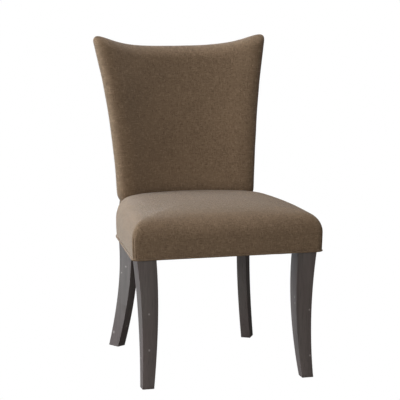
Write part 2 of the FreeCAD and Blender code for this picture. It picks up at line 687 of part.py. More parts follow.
def seat_outline(inset):
    """Plan outline of the seat, set in by inset, from the front middle round to
    the front middle again.  The rear runs inside the thickness of the back."""
    yf = N("seat_front") + inset
    r = max(N("seat_corner") - inset, 3.0)
    pts = [(x, yf) for x in (0.0, 60.0, 120.0, 180.0, 225.0, 255.0)]
    # rounded corner between the front line and the tapering side
    a = math.atan(N("seat_taper"))
    xs = xside(yf, inset / math.cos(a))
    q = math.radians(90) - a                       # turn from the front line to the side line
    tang = r * math.tan((math.radians(90) - a) / 2 + a)
    cx = xside(yf + r, (inset + r) / math.cos(a))
    cy = yf + r
    for k in range(7):
        t = -math.pi / 2 + (math.pi / 2 + a) * k / 6
        pts.append((cx + r * math.cos(t), cy + r * math.sin(t)))
    for y in (-285.0, -230.0, -170.0, -110.0, -50.0, 0.0, 35.0):
        pts.append((xside(y, inset / math.cos(a)), y))
    tail = [(249.8, 70.0, 0.97, 0.24), (242.8, 96.0, 0.93, 0.37), (232.0, 121.0, 0.88, 0.47), (219.0, 141.0, 0.84, 0.54)]
    for x, y, nx, ny in tail:
        pts.append((x - nx * inset, y - ny * inset))
    radius = N("back_x_b") / SN
    yc = N("back_y_b") - radius * CS
    for deg in (30.0, 25.0, 19.0, 13.0, 6.5, 0.0):
        t = math.radians(deg)
        pts.append((radius * math.sin(t), yc + radius * math.cos(t)))
    left = [(-x, y) for x, y in reversed(pts[1:-1])]
    return pts + left


def seat_top(y, f):
    """Height of the seat's crown at y; f is 1 at the rim and 0 in the middle."""
    table = [(-333.0, 488.0), (-290.0, 492.5), (-220.0, 499.0), (-120.0, 504.5), (0.0, 507.5), (120.0, 508.0), (240.0, 506.0)]
    y = min(max(y, table[0][0]), table[-1][0])
    for (a, za), (b, zb) in zip(table, table[1:]):
        if y <= b:
            rim = za + (zb - za) * (y - a) / (b - a)
            break
    return rim + (N("seat_crown") - rim) * max(0.0, 1 - f * f)


BASE = seat_outline(0.0)
CHORD = [0.0]
for p, q in zip(BASE, BASE[1:] + BASE[:1]):
    CHORD.append(CHORD[-1] + math.hypot(q[0] - p[0], q[1] - p[1]))


def seat_form(inset, drop, low):
    """Solid of the seat's shape, set in by inset at the sides and drop on top,
    standing on the level low."""
    outline = seat_outline(inset)
    mx, my = 0.0, -80.0
    wires = []
    wall = N("seat_wall_top") - drop
    for f, p in ((1.0, None), (1.0, -1.0), (1.0, 0.0), (0.990, 0.40), (0.965, 0.72), (0.925, 0.90), (0.86, 0.975),
                 (0.72, 1.0), (0.45, 1.0), (0.12, 2.0)):
        pts = []
        for x, y in outline:
            X, Y = mx + (x - mx) * f, my + (y - my) * f
            if p is None:
                z = low
            elif p == -1.0:
                z = (low + wall) / 2 + 6
            elif p == 2.0:
                z = N("seat_crown") - drop
            else:
                z = wall + (seat_top(Y, f) - N("seat_wall_top")) * p
            pts.append(V(X, Y, z))
        c = Part.BSplineCurve()
        c.interpolate(Points=pts, PeriodicFlag=True, Parameters=CHORD)
        wires.append(Part.Wire(c.toShape()))
    return Part.makeLoft(wires, True, True)


def upright(inset, z0, z1):
    """Straight-sided solid of the seat's plan, set in by inset."""
    wires = []
    for z in (z0, z1):
        c = Part.BSplineCurve()
        c.interpolate(Points=[V(x, y, z) for x, y in seat_outline(inset)], PeriodicFlag=True, Parameters=CHORD)
        wires.append(Part.Wire(c.toShape()))
    return Part.makeLoft(wires, True, True)


t_cover = N("cover_t")
back_clear = back_loft(-N("back_half") - 0.6, N("back_half") + 0.6).common(crest_tool(-20.0, 300.0))


low = N("seat_bottom") + N("welt_d") + 0.2
seat_outer = seat_form(0.0, 0.0, low)
seat_in1 = seat_form(t_cover, t_cover, low - 3)
seat_bat = seat_form(t_cover + 0.3, t_cover + 0.3, low)
seat_in2 = seat_form(N("rail_inset") - 0.3, N("rail_inset") - 0.3, low - 3)
seat_core = seat_form(N("foam_inset"), N("foam_inset"), low)
seat_cover_shape = one_solid(seat_outer.cut(seat_in1).cut(back_clear))
seat_batting_shape = one_solid(seat_bat.cut(seat_in2.fuse(upright(N("rail_inset") - 0.3, low - 3, N("side_rail_top") + 0.4))).cut(back_clear))
deck_z = N("deck_z")
over = Part.makeBox(800, 800, 200, V(-400, -400, deck_z + N("deck_t")))
seat_foam_shape = one_solid(seat_core.cut(back_clear).common(over))
deck_slab = Part.makeBox(800, 800, N("deck_t"), V(-400, -400, deck_z))
deck_shape = one_solid(seat_form(N("foam_inset") + 1.5, N("foam_inset") + 1.5, low).cut(back_clear).common(deck_slab))

# ---------------------------------------------------------------- back forms
h = N("back_half")
back_outer = back_loft(-h, h).common(crest_tool(0.0, N("seat_bottom")))
back_in1 = back_loft(-h + t_cover, h - t_cover).common(crest_tool(t_cover, N("seat_bottom") - 20))
back_bat = back_loft(-h + t_cover + 0.3, h - t_cover - 0.3).common(crest_tool(t_cover + 0.3, 450.0))
back_in2 = back_loft(-h + 6.4, h - 6.4).common(crest_tool(6.5, N("seat_bottom") - 20))
# below the seat's top the inside cloth of the back is tucked behind the seat,
# so only the rear half of the tube goes on down over the rear rail
tuck = back_loft(-h - 60, N("frame_front") - 18.0, 140.0).common(Part.makeBox(1000, 1000, 70, V(-500, -400, 382.0)))
back_cover_shape = back_outer.cut(back_in1).cut(tuck)
back_batting_shape = back_bat.cut(back_in2).cut(tuck)
for side in ("left", "right"):
    for nm in ("side_rail_", "corner_block_rear_", "rear_leg_"):
        back_cover_shape = back_cover_shape.cut(raw[nm + side].Shape)
    back_batting_shape = back_batting_shape.cut(raw["rear_leg_" + side].Shape)
back_cover_shape = one_solid(back_cover_shape)
back_batting_shape = one_solid(back_batting_shape)

low_b = N("back_low")
back_foam_shape = one_solid(back_band(N("foam_front"), N("foam_back"), 8.0, 8.0, 512.0))
ply_shape = one_solid(back_band(N("ply_front"), N("ply_back"), 18.0, 26.0, low_b))


def rear_layer(o1, o2, extend, drop):
    """Layer on the rear of the frame.  Beside the thick lower ends of the posts
    it only fills the space between them."""
    upper = back_band(o1, o2, extend, drop, low_b)
    slab = Part.makeBox(1000, 1000, low_b - N("rail_top") - 2, V(-500, -500, N("rail_top") + 2))
    lower = back_loft(o1, o2, -19.0).common(slab)
    return one_solid(upper.fuse(lower).removeSplitter())


board_shape = rear_layer(N("board_front"), N("board_back"), 18.0, 20.0)
pad_shape = rear_layer(N("pad_front"), N("pad_back"), 8.0, 8.0)


def rail_band(z0, z1):
    """Curved rail between the posts, a shade thinner than they are deep."""
    box = Part.makeBox(1000, 1000, z1 - z0, V(-500, -500, z0))
    return one_solid(back_loft(N("frame_front") + 0.6, N("frame_back") - 0.4, -8.0).common(box))


raw["lower_back_rail"] = feature("lower_back_rail_raw", rail_band(N("lower_rail_low"), N("lower_rail_high")))
raw["crest_rail"] = feature("crest_rail_raw", rail_band(N("crest_low"), N("crest_high")))

# ---------------------------------------------------------------- welt
def welt_path(z):
    """Round the bottom edge of the seat from one end of the back to the other."""
    ins = N("welt_in")
    a = math.atan(N("seat_taper"))
    yf = N("seat_front") + ins
    r = 13.0
    cx = xside(yf + r, (ins + r) / math.cos(a))
    cy = yf + r
    p_front = V(cx, yf, z)
    mid = V(cx + r * math.cos(-math.pi / 4 + a / 2), cy + r * math.sin(-math.pi / 4 + a / 2), z)
    p_side = V(cx + r * math.cos(a), cy + r * math.sin(a), z)
    side = V(p_side.x - (30.0 - p_side.y) * math.tan(a), 30.0, z)
    # the rear end turns in along an arc, tangent to the side line
    d = V(-math.sin(a), math.cos(a), 0)
    nrm = V(-math.cos(a), -math.sin(a), 0)
    R = 190.0
    c = side + nrm * R
    def turn(t):
        return c + (nrm * -R) * math.cos(t) + d * (R * math.sin(t))
    e_mid, e_end = turn(0.24), turn(0.48)
    m = lambda v: V(-v.x, v.y, v.z)
    edges = [
        Part.Arc(m(e_end), m(e_mid), m(side)).toShape(),
        Part.LineSegment(m(side), m(p_side)).toShape(),
        Part.Arc(m(p_side), m(mid), m(p_front)).toShape(),
        Part.LineSegment(m(p_front), p_front).toShape(),
        Part.Arc(p_front, mid, p_side).toShape(),
        Part.LineSegment(p_side, side).toShape(),
        Part.Arc(side, e_mid, e_end).toShape(),
    ]
    start = m(e_end)
    tan = (m(e_mid) - m(e_end))
    return Part.Wire(edges), start, edges[0].tangentAt(edges[0].FirstParameter), e_end


wz = N("seat_bottom") + N("welt_d") / 2
path, start, tangent, welt_end = welt_path(wz)
circle = Part.Wire(Part.makeCircle(N("welt_d") / 2, start, tangent))
welt_shape = path.makePipeShell([circle], True, True, 1)
welt_shape = one_solid(Part.Solid(welt_shape) if welt_shape.ShapeType == "Shell" else welt_shape)

# ---------------------------------------------------------------- finished pieces
for side in ("left", "right"):
    fl = raw["front_leg_" + side]
    node("front_leg_" + side, cut("front_leg_%s_done" % side, fl, bolts[side] + [glide_of["front_" + side]]))
for side in ("left", "right"):
    pd = [d for d in all_dowels if "_%s_" % side in d.Name and not d.Name.startswith("dowel_f_")]
    ps = [f for s, f, w in post_screws if s == side]
    node("rear_leg_" + side, cut("rear_leg_%s_done" % side, raw["rear_leg_" + side], pd + ps + [glide_of["rear_" + side]]))

fr_screws = [block_tools["front_" + s][0][0] for s in ("left", "right")]
node("front_rail", cut("front_rail_done", raw["front_rail"],
                       dowels["front_rail"] + fr_screws + tacks_long["front"] + staples_of["front_rail"]))
for side in ("left", "right"):
    key = "side_rail_" + side
    fitted = cut(key + "_fitted", raw[key], [raw["rear_leg_" + side]])
    pd = [d for d in dowels["front_rail"] if "_%s_" % side in d.Name]
    ps = [f for s, f, w in post_screws if s == side] + [w for s, f, w in post_screws if s == side]
    sc = [block_tools["front_" + side][1][0], block_tools["rear_" + side][0][0]]
    node(key, cut(key + "_done", fitted, pd + ps + sc + tacks_cross[side] + staples_of[key]))
legs = [raw["rear_leg_left"], raw["rear_leg_right"]]
rear_fit = cut("rear_rail_fitted", raw["rear_rail"], legs)
rr_screws = [block_tools["rear_" + s][1][0] for s in ("left", "right")]
node("rear_rail", cut("rear_rail_done", rear_fit, dowels["rear_rail"] + rr_screws + tacks_long["rear"] + staples_of["rear_rail"]))
for side in ("left", "right"):
    key = "corner_block_front_" + side
    s1, s2 = block_tools["front_" + side]
    node(key, cut(key + "_done", raw[key], bolts[side] + [s1[0], s1[1], s1[2], s2[0], s2[1], s2[2]]))
    key = "corner_block_rear_" + side
    s3, s4 = block_tools["rear_" + side]
    fit = cut(key + "_fitted", raw[key], [raw["side_rail_" + side], raw["rear_leg_" + side], raw["rear_rail"]])
    node(key, cut(key + "_done", fit, [s3[0], s3[1], s3[2], s4[0], s4[1], s4[2]]))
for key in ("lower_back_rail", "crest_rail"):
    fit = cut(key + "_fitted", raw[key], legs)
    node(key, cut(key + "_done", fit, dowels[key]))

node("frame_dowels", compound("dowel_group", all_dowels))
node("corner_block_screws", compound("screw_group", block_screws))
node("leg_bolts", compound("bolt_group", bolts["left"] + bolts["right"]))
node("leg_bolt_washers", compound("washer_group", washer_nodes))
node("leg_bolt_nuts", compound("nut_group", nut_nodes))
node("post_screws", compound("post_screw_group", [f for s, f, w in post_screws]))
node("foot_glides", compound("glide_group", glides))

long_group = compound("long_straps", [b for b, *_ in straps_y])
cross_group = compound("cross_straps", [b for b, *_ in straps_x])
node("webbing_front_to_back", cut("long_straps_done", long_group, tacks_long["front"] + tacks_long["rear"]))
node("webbing_side_to_side", cut("cross_straps_done", cross_group, tacks_cross["left"] + tacks_cross["right"]))
node("webbing_tacks", compound("tack_group", tacks_long["front"] + tacks_long["rear"] + tacks_cross["left"] + tacks_cross["right"]))
node("seat_deck_cloth", feature("deck", deck_shape))
node("seat_foam", feature("foam", seat_foam_shape))
node("seat_batting", feature("batting", seat_batting_shape))
node("seat_cover", feature("cover", seat_cover_shape))
node("seat_welt", feature("welt", welt_shape))

# dust cover: thin cloth under the rails, cut round the legs
doc.recompute()
dust = seat_form(12.0, 12.0, low - 20)
dust = one_solid(dust.cut(back_loft(-h - 60, -14.0, 140.0).common(Part.makeBox(10, 10, 10))).common(
    Part.makeBox(800, 800, 1.0, V(-400, -400, dust_z))))
room = []
for side, sign in (("left", -1), ("right", 1)):
    xa, xb = N("fl_in_top") - 2, 300.0
    room.append(Part.makeBox(xb - xa, 90, 20, V(xa if sign > 0 else -xb, -345.0, dust_z - 10)))
    px = post_point(sign, N("rl_off") - N("rl_wide") / 2 - 2.0, N("rl_mid_top") - 31.0, dust_z - 10)
    b = Part.makeBox(120, 120, 20)
    b.Placement = FreeCAD.Placement(V(*px), FreeCAD.Rotation(V(0, 0, 1), (90 - sign * N("post_turn")) - (90 if sign > 0 else 0)))
    room.append(b)
for b in room:
    dust = dust.cut(b)
for s in staples:
    dust = dust.cut(s.Shape)
node("dust_cover", feature("dust", one_solid(dust)))
node("dust_cover_staples", compound("staple_group", staples))

node("inner_back_panel", feature("ply", ply_shape))
node("back_foam", feature("foam_b", back_foam_shape))
node("outer_back_panel", feature("board", board_shape))
node("outer_back_padding", feature("pad_b", pad_shape))
node("back_batting", feature("batting_b", back_batting_shape))
node("back_cover", feature("cover_b", back_cover_shape))

doc.recompute()

# ---------------------------------------------------------------- check and write
bad = [o.Name for o in doc.Objects if "Invalid" in o.State or "Error" in o.State]
if bad:
    raise SystemExit("failed objects: %s" % bad)
os.makedirs("parts", exist_ok=True)
total = None
for label, obj in NODES:
    s = obj.Shape
    if s.isNull() or not s.isValid() or not s.Solids:
        raise SystemExit("bad shape in %s" % label)
    if s.Volume <= 0:
        raise SystemExit("no volume in %s" % label)
    bb = s.optimalBoundingBox(False, False)
    total = bb if total is None else total.united(bb)
    print("%-28s solids %2d  volume %9.1f cm3  z %.1f..%.1f" % (label, len(s.Solids), s.Volume / 1000, bb.ZMin, bb.ZMax))
for label, obj in NODES:
    obj.Shape.exportStep("parts/%s.step" % label)
print("box", total)
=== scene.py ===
import math

import bpy
import numpy as np
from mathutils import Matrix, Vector
from mathutils.kdtree import KDTree


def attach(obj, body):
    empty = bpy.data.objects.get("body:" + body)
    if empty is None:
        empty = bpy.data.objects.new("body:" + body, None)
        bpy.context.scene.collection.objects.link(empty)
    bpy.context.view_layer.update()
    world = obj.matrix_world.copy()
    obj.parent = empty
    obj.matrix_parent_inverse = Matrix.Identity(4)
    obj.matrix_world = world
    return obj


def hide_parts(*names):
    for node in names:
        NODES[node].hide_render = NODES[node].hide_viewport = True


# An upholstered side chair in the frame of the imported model: metres, +Z up,
# facing -Y, origin on the floor under the middle.

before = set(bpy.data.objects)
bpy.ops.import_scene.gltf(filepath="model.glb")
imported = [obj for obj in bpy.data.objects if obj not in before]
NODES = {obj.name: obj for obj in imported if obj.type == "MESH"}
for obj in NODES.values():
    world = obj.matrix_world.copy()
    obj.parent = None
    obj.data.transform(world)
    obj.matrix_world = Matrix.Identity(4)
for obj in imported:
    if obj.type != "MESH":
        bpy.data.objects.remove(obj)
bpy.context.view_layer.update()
SCENE = bpy.context.scene

# ------------------------------------------------------------------ small tools


def hermite(xs, ys, n=1600):
    """Smooth table through the points, for np.interp."""
    xs, ys = np.array(xs, float), np.array(ys, float)
    slope = np.empty(len(xs))
    slope[1:-1] = (ys[2:] - ys[:-2]) / (xs[2:] - xs[:-2])
    slope[0] = (ys[1] - ys[0]) / (xs[1] - xs[0])
    slope[-1] = (ys[-1] - ys[-2]) / (xs[-1] - xs[-2])
    q = np.linspace(xs[0], xs[-1], n)
    i = np.clip(np.searchsorted(xs, q, side="right") - 1, 0, len(xs) - 2)
    w = xs[i + 1] - xs[i]
    t = (q - xs[i]) / w
    v = (ys[i] * (2 * t**3 - 3 * t**2 + 1) + slope[i] * w * (t**3 - 2 * t**2 + t)
         + ys[i + 1] * (3 * t**2 - 2 * t**3) + slope[i + 1] * w * (t**3 - t**2))
    return q, v


def smoothstep(x):
    x = np.clip(x, 0.0, 1.0)
    return x * x * (3 - 2 * x)


def waves(p, seed, count, size, strength):
    """Slow random waviness, the same every run: p is (n, 3)."""
    rng = np.random.default_rng(seed)
    out = np.zeros(len(p))
    for _ in range(count):
        d = rng.normal(size=3)
        d /= np.linalg.norm(d)
        k = 2 * math.pi / (size * rng.uniform(0.7, 1.6))
        out += np.sin(p @ d * k + rng.uniform(0, 2 * math.pi))
    return out * strength / math.sqrt(count)


def make_mesh(name, verts, faces, uvs=None):
    me = bpy.data.meshes.new(name)
    me.from_pydata([tuple(v) for v in verts], [], faces)
    me.update()
    if uvs is not None:
        layer = me.uv_layers.new(name="cloth")
        data = np.empty((len(me.loops), 2), np.float32)
        k = 0
        for face_uv in uvs:
            for uv in face_uv:
                data[k] = uv
                k += 1
        layer.data.foreach_set("uv", data.ravel())
    me.shade_smooth()
    ob = bpy.data.objects.new(name, me)
    SCENE.collection.objects.link(ob)
    return ob


# ------------------------------------------------------------------ materials


class Net:
    """Shader node net with short calls."""

    def __init__(self, name):
        self.mat = bpy.data.materials.new(name)
        self.mat.use_nodes = True
        self.t = self.mat.node_tree
        self.t.nodes.clear()
        self.out = self.t.nodes.new("ShaderNodeOutputMaterial")
        self.bsdf = self.t.nodes.new("ShaderNodeBsdfPrincipled")
        self.t.links.new(self.bsdf.outputs[0], self.out.inputs["Surface"])

    def node(self, kind, **props):
        n = self.t.nodes.new(kind)
        for k, v in props.items():
            setattr(n, k, v)
        return n

    def link(self, a, b):
        self.t.links.new(a, b)

    def put(self, socket, value):
        if hasattr(value, "is_output"):
            self.link(value, socket)
        else:
            socket.default_value = value

    def math(self, op, a, b=None, c=None, clamp=False):
        n = self.node("ShaderNodeMath", operation=op, use_clamp=clamp)
        self.put(n.inputs[0], a)
        if b is not None:
            self.put(n.inputs[1], b)
        if c is not None:
            self.put(n.inputs[2], c)
        return n.outputs[0]

    def mapping(self, vec, scale=(1, 1, 1), rot=(0, 0, 0), loc=(0, 0, 0)):
        n = self.node("ShaderNodeMapping")
        self.link(vec, n.inputs["Vector"])
        n.inputs["Scale"].default_value = scale
        n.inputs["Rotation"].default_value = rot
        n.inputs["Location"].default_value = loc
        return n.outputs[0]

    def noise(self, vec, scale, detail=2.0, rough=0.5, distort=0.0):
        n = self.node("ShaderNodeTexNoise")
        self.link(vec, n.inputs["Vector"])
        n.inputs["Scale"].default_value = scale
        n.inputs["Detail"].default_value = detail
        n.inputs["Roughness"].default_value = rough
        n.inputs["Distortion"].default_value = distort
        return n.outputs["Fac"]

    def wave(self, vec, scale, direction="X", distort=0.0, dscale=1.0, profile="SIN"):
        n = self.node("ShaderNodeTexWave", wave_type="BANDS", bands_direction=direction, wave_profile=profile)
        self.link(vec, n.inputs["Vector"])
        n.inputs["Scale"].default_value = scale
        n.inputs["Distortion"].default_value = distort
        n.inputs["Detail"].default_value = 1.0
        n.inputs["Detail Scale"].default_value = dscale
        return n.outputs["Fac"]

    def voronoi(self, vec, scale, feature="F1", rand=1.0):
        n = self.node("ShaderNodeTexVoronoi", feature=feature)
        self.link(vec, n.inputs["Vector"])
        n.inputs["Scale"].default_value = scale
        n.inputs["Randomness"].default_value = rand
        return n

    def ramp(self, fac, stops, mode="LINEAR"):
        n = self.node("ShaderNodeValToRGB")
        n.color_ramp.interpolation = mode
        el = n.color_ramp.elements
        while len(el) > 1:
            el.remove(el[0])
        el[0].position = stops[0][0]
        el[0].color = (*stops[0][1], 1)
        for p, c in stops[1:]:
            e = el.new(p)
            e.color = (*c, 1)
        self.link(fac, n.inputs[0])
        return n.outputs[0]

    def mix(self, fac, a, b, mode="MIX"):
        n = self.node("ShaderNodeMix", data_type="RGBA", blend_type=mode)
        self.put(n.inputs["Factor"], fac)
        for sock, v in ((n.inputs[6], a), (n.inputs[7], b)):
            if hasattr(v, "is_output"):
                self.link(v, sock)
            else:
                sock.default_value = (*v, 1)
        return n.outputs[2]

    def bump(self, height, strength, distance, normal=None):
        n = self.node("ShaderNodeBump")
        n.inputs["Strength"].default_value = strength
        n.inputs["Distance"].default_value = distance
        self.link(height, n.inputs["Height"])
        if normal is not None:
            self.link(normal, n.inputs["Normal"])
        return n.outputs[0]

    def map_range(self, v, a, b, c, d):
        n = self.node("ShaderNodeMapRange")
        self.put(n.inputs[0], v)
        for i, x in enumerate((a, b, c, d), 1):
            n.inputs[i].default_value = x
        return n.outputs[0]


def scaled(c, k):
    return tuple(x * k for x in c)


def cloth_material(name, base, sheen=0.15, uv=True, contrast=1.0):
    """Woven chenille in a brown taupe: slub yarns, light and dark flecks."""
    m = Net(name)
    tc = m.node("ShaderNodeTexCoord")
    obj = tc.outputs["Object"]
    if uv:
        u = m.node("ShaderNodeUVMap", uv_map="cloth").outputs[0]
    else:
        u = obj
    # yarns: about 1.3 mm across, slightly uneven
    warp = m.wave(u, 2 * math.pi * 38, "X", 1.2, 1.6)
    weft = m.wave(u, 2 * math.pi * 34, "Y", 1.4, 1.3)
    weave = m.math("MULTIPLY", warp, weft)
    weave_mix = m.math("ADD", m.math("MULTIPLY", weave, 0.6), m.math("MULTIPLY", m.math("ADD", warp, weft), 0.2))
    # slubs: short streaks along both yarn directions
    slub_a = m.noise(m.mapping(u, (300, 66, 60)), 1.0, 1.5, 0.5)
    slub_b = m.noise(m.mapping(u, (66, 300, 60)), 1.0, 1.5, 0.5)
    slub = m.math("MAXIMUM", slub_a, slub_b)
    # the same in dark yarn
    dusk_a = m.noise(m.mapping(u, (280, 70, 60), (0, 0, 0), (7.3, 2.1, 0)), 1.0, 1.5, 0.5)
    dusk_b = m.noise(m.mapping(u, (70, 280, 60), (0, 0, 0), (3.7, 9.4, 0)), 1.0, 1.5, 0.5)
    dusk = m.math("MAXIMUM", dusk_a, dusk_b)
    # flecks of lighter and darker yarn
    fleck = m.noise(obj, 330.0, 2.0, 0.6)
    light = m.map_range(fleck, 0.60, 0.72, 0.0, 1.0)
    dark = m.map_range(fleck, 0.40, 0.30, 0.0, 1.0)
    mottle = m.noise(obj, 9.0, 3.0, 0.55)
    mottle_fine = m.noise(obj, 60.0, 2.0, 0.6)
    tone = m.ramp(m.math("ADD", m.math("MULTIPLY", mottle, 0.55), m.math("MULTIPLY", mottle_fine, 0.45)),
                  [(0.30, scaled(base, 1 - 0.13 * contrast)), (0.70, scaled(base, 1 + 0.13 * contrast))])
    col = m.mix(m.math("MULTIPLY", m.map_range(slub, 0.55, 0.72, 0.0, 1.0), 0.56 * contrast), tone, scaled((base[0] * 0.99, base[1], base[2] * 1.04), 1.95))
    col = m.mix(m.math("MULTIPLY", m.map_range(dusk, 0.56, 0.74, 0.0, 1.0), 0.55 * contrast), col, scaled(base, 0.40))
    col = m.mix(m.math("MULTIPLY", m.map_range(weave_mix, 0.15, 0.75, 1.0, 0.0), 0.30 * contrast), col, scaled(base, 0.50))
    col = m.mix(m.math("MULTIPLY", light, 0.40 * contrast), col, scaled((base[0], base[1] * 1.02, base[2] * 1.06), 2.1))
    col = m.mix(m.math("MULTIPLY", dark, 0.45 * contrast), col, scaled(base, 0.42))
    b = m.bsdf.inputs
    m.link(col, b["Base Color"])
    m.put(b["Roughness"], m.map_range(slub, 0.2, 0.9, 0.98, 0.82))
    b["Specular IOR Level"].default_value = 0.22
    b["Sheen Weight"].default_value = sheen
    b["Sheen Roughness"].default_value = 0.42
    b["Sheen Tint"].default_value = (1.0, 0.99, 0.97, 1)
    h = m.math("ADD", m.math("MULTIPLY", weave_mix, 0.7), m.math("MULTIPLY", slub, 0.6))
    n1 = m.bump(mottle_fine, 0.10, 0.004)
    m.link(m.bump(h, 0.55, 0.0006, n1), b["Normal"])
    return m.mat


# chips in the finish of the legs: place, half width, and how tall they are
NICKS = [(-0.2031, 0.1512, 0.2706, 0.0042, 0.8), (-0.2135, 0.1685, 0.2486, 0.0036, 0.8), (-0.2333, 0.2015, 0.0472, 0.0044, 1.3),
         (-0.1966, 0.1753, 0.0708, 0.0036, 1.0), (-0.2384, -0.3143, 0.2207, 0.0036, 1.0), (-0.2392, -0.3178, 0.1147, 0.0034, 1.2),
         (-0.2582, -0.2928, 0.0877, 0.0038, 1.0), (0.2109, -0.2968, 0.2422, 0.0030, 1.8), (0.2111, -0.2995, 0.2245, 0.0030, 1.5),
         (0.2523, -0.3145, 0.2049, 0.0036, 1.0), (0.2532, -0.3210, 0.0669, 0.0034, 1.1)]


def wood_material(name, base, worn=True):
    """Grey-brown stained hardwood, grain along Z, with nicks."""
    m = Net(name)
    tc = m.node("ShaderNodeTexCoord")
    obj = tc.outputs["Object"]
    grain = m.noise(m.mapping(obj, (46, 46, 2.6)), 1.0, 6.0, 0.62, 0.5)
    pores = m.noise(m.mapping(obj, (420, 420, 14)), 1.0, 3.0, 0.6)
    cloud = m.noise(m.mapping(obj, (9, 9, 4)), 1.0, 2.0, 0.5)
    tone = m.ramp(grain, [(0.26, scaled(base, 0.66)), (0.46, base), (0.60, scaled(base, 1.12)), (0.80, scaled((base[0] * 1.02, base[1], base[2] * 0.98), 1.34))])
    col = m.mix(m.map_range(cloud, 0.35, 0.68, 0.0, 0.55), tone, (base[0] * 1.02, base[1] * 0.87, base[2] * 0.90))
    col = m.mix(m.math("MULTIPLY", m.map_range(pores, 0.46, 0.30, 0.0, 1.0), 0.45), col, scaled(base, 0.42))
    if worn:
        # small light nicks where the finish is chipped, each with a ragged edge
        ragged = m.noise(obj, 620.0, 2.0, 0.6)
        shift = m.math("MULTIPLY", m.math("SUBTRACT", ragged, 0.5), 0.0030)
        nick = None
        for x, y, z, size, tall in NICKS:
            near = m.node("ShaderNodeVectorMath", operation="DISTANCE")
            m.link(m.mapping(obj, (1, 1, 1 / tall)), near.inputs[0])
            near.inputs[1].default_value = (x, y, z / tall)
            spot = m.map_range(m.math("ADD", near.outputs["Value"], shift), 0.55 * size, size, 1.0, 0.0)
            nick = spot if nick is None else m.math("MAXIMUM", nick, spot)
        col = m.mix(m.math("MULTIPLY", nick, 0.85), col, (base[0] * 2.7, base[1] * 2.75, base[2] * 2.8))
    b = m.bsdf.inputs
    m.link(col, b["Base Color"])
    m.put(b["Roughness"], m.map_range(grain, 0.2, 0.8, 0.62, 0.46))
    b["Specular IOR Level"].default_value = 0.24
    b["Coat Weight"].default_value = 0.03
    b["Coat Roughness"].default_value = 0.4
    h = m.math("ADD", m.math("MULTIPLY", grain, 0.4), m.math("MULTIPLY", pores, 0.6))
    m.link(m.bump(h, 0.35, 0.0005), b["Normal"])
    return m.mat


def plain_wood(name, base, scale=(30, 30, 3)):
    m = Net(name)
    obj = m.node("ShaderNodeTexCoord").outputs["Object"]
    grain = m.noise(m.mapping(obj, scale), 1.0, 5.0, 0.6, 0.4)
    pores = m.noise(m.mapping(obj, scaled(scale, 8)), 1.0, 2.0, 0.6)
    col = m.ramp(grain, [(0.3, scaled(base, 0.75)), (0.55, base), (0.8, scaled(base, 1.2))])
    m.link(m.mix(m.math("MULTIPLY", pores, 0.25), col, scaled(base, 0.6)), m.bsdf.inputs["Base Color"])
    m.put(m.bsdf.inputs["Roughness"], m.map_range(grain, 0.2, 0.8, 0.75, 0.58))
    m.link(m.bump(grain, 0.3, 0.0006), m.bsdf.inputs["Normal"])
    return m.mat


def plain_stuff(name, base, grain_scale, spread, rough, bump=0.3, metal=0.0):
    """Small-grained material for the parts that are held inside or underneath."""
    m = Net(name)
    obj = m.node("ShaderNodeTexCoord").outputs["Object"]
    fine = m.noise(obj, grain_scale, 3.0, 0.6)
    m.link(m.ramp(fine, [(0.3, scaled(base, 1 - spread)), (0.7, scaled(base, 1 + spread))]), m.bsdf.inputs["Base Color"])
    m.put(m.bsdf.inputs["Roughness"], m.map_range(fine, 0.2, 0.8, min(rough + 0.08, 1.0), rough - 0.08))
    m.bsdf.inputs["Metallic"].default_value = metal
    m.link(m.bump(fine, bump, 0.0005), m.bsdf.inputs["Normal"])
    return m.mat


def woven_strap(name, base):
    m = Net(name)
    obj = m.node("ShaderNodeTexCoord").outputs["Object"]
    a = m.wave(obj, 2 * math.pi * 26, "X", 0.6, 1.0)
    b_ = m.wave(obj, 2 * math.pi * 26, "Y", 0.6, 1.0)
    w = m.math("MULTIPLY", a, b_)
    m.link(m.ramp(w, [(0.0, scaled(base, 0.55)), (0.6, base), (1.0, scaled(base, 1.25))]), m.bsdf.inputs["Base Color"])
    m.put(m.bsdf.inputs["Roughness"], m.map_range(w, 0.0, 1.0, 0.95, 0.8))
    m.link(m.bump(w, 0.5, 0.0008), m.bsdf.inputs["Normal"])
    return m.mat


FABRIC = (0.171, 0.1135, 0.0690)
cloth = cloth_material("chenille", FABRIC)
cord_cloth = cloth_material("chenille_cord", scaled(FABRIC, 0.98), contrast=0.8)
leg_wood = wood_material("leg_finish", (0.0990, 0.0850, 0.0783))
frame_wood = plain_wood("frame_hardwood", (0.44, 0.30, 0.17))
ply = plain_wood("plywood", (0.52, 0.38, 0.24), (40, 6, 40))
board = plain_stuff("fibreboard", (0.30, 0.21, 0.13), 260.0, 0.2, 0.85)
web = woven_strap("webbing", (0.42, 0.33, 0.20))
deck = woven_strap("deck_cloth", (0.55, 0.50, 0.42))
dust = plain_stuff("dust_cloth", (0.018, 0.018, 0.019), 900.0, 0.5, 0.92, 0.5)
steel = plain_stuff("steel", (0.50, 0.49, 0.47), 400.0, 0.12, 0.35, 0.1, 1.0)
nylon = plain_stuff("glide_nylon", (0.10, 0.095, 0.09), 500.0, 0.15, 0.45, 0.15)

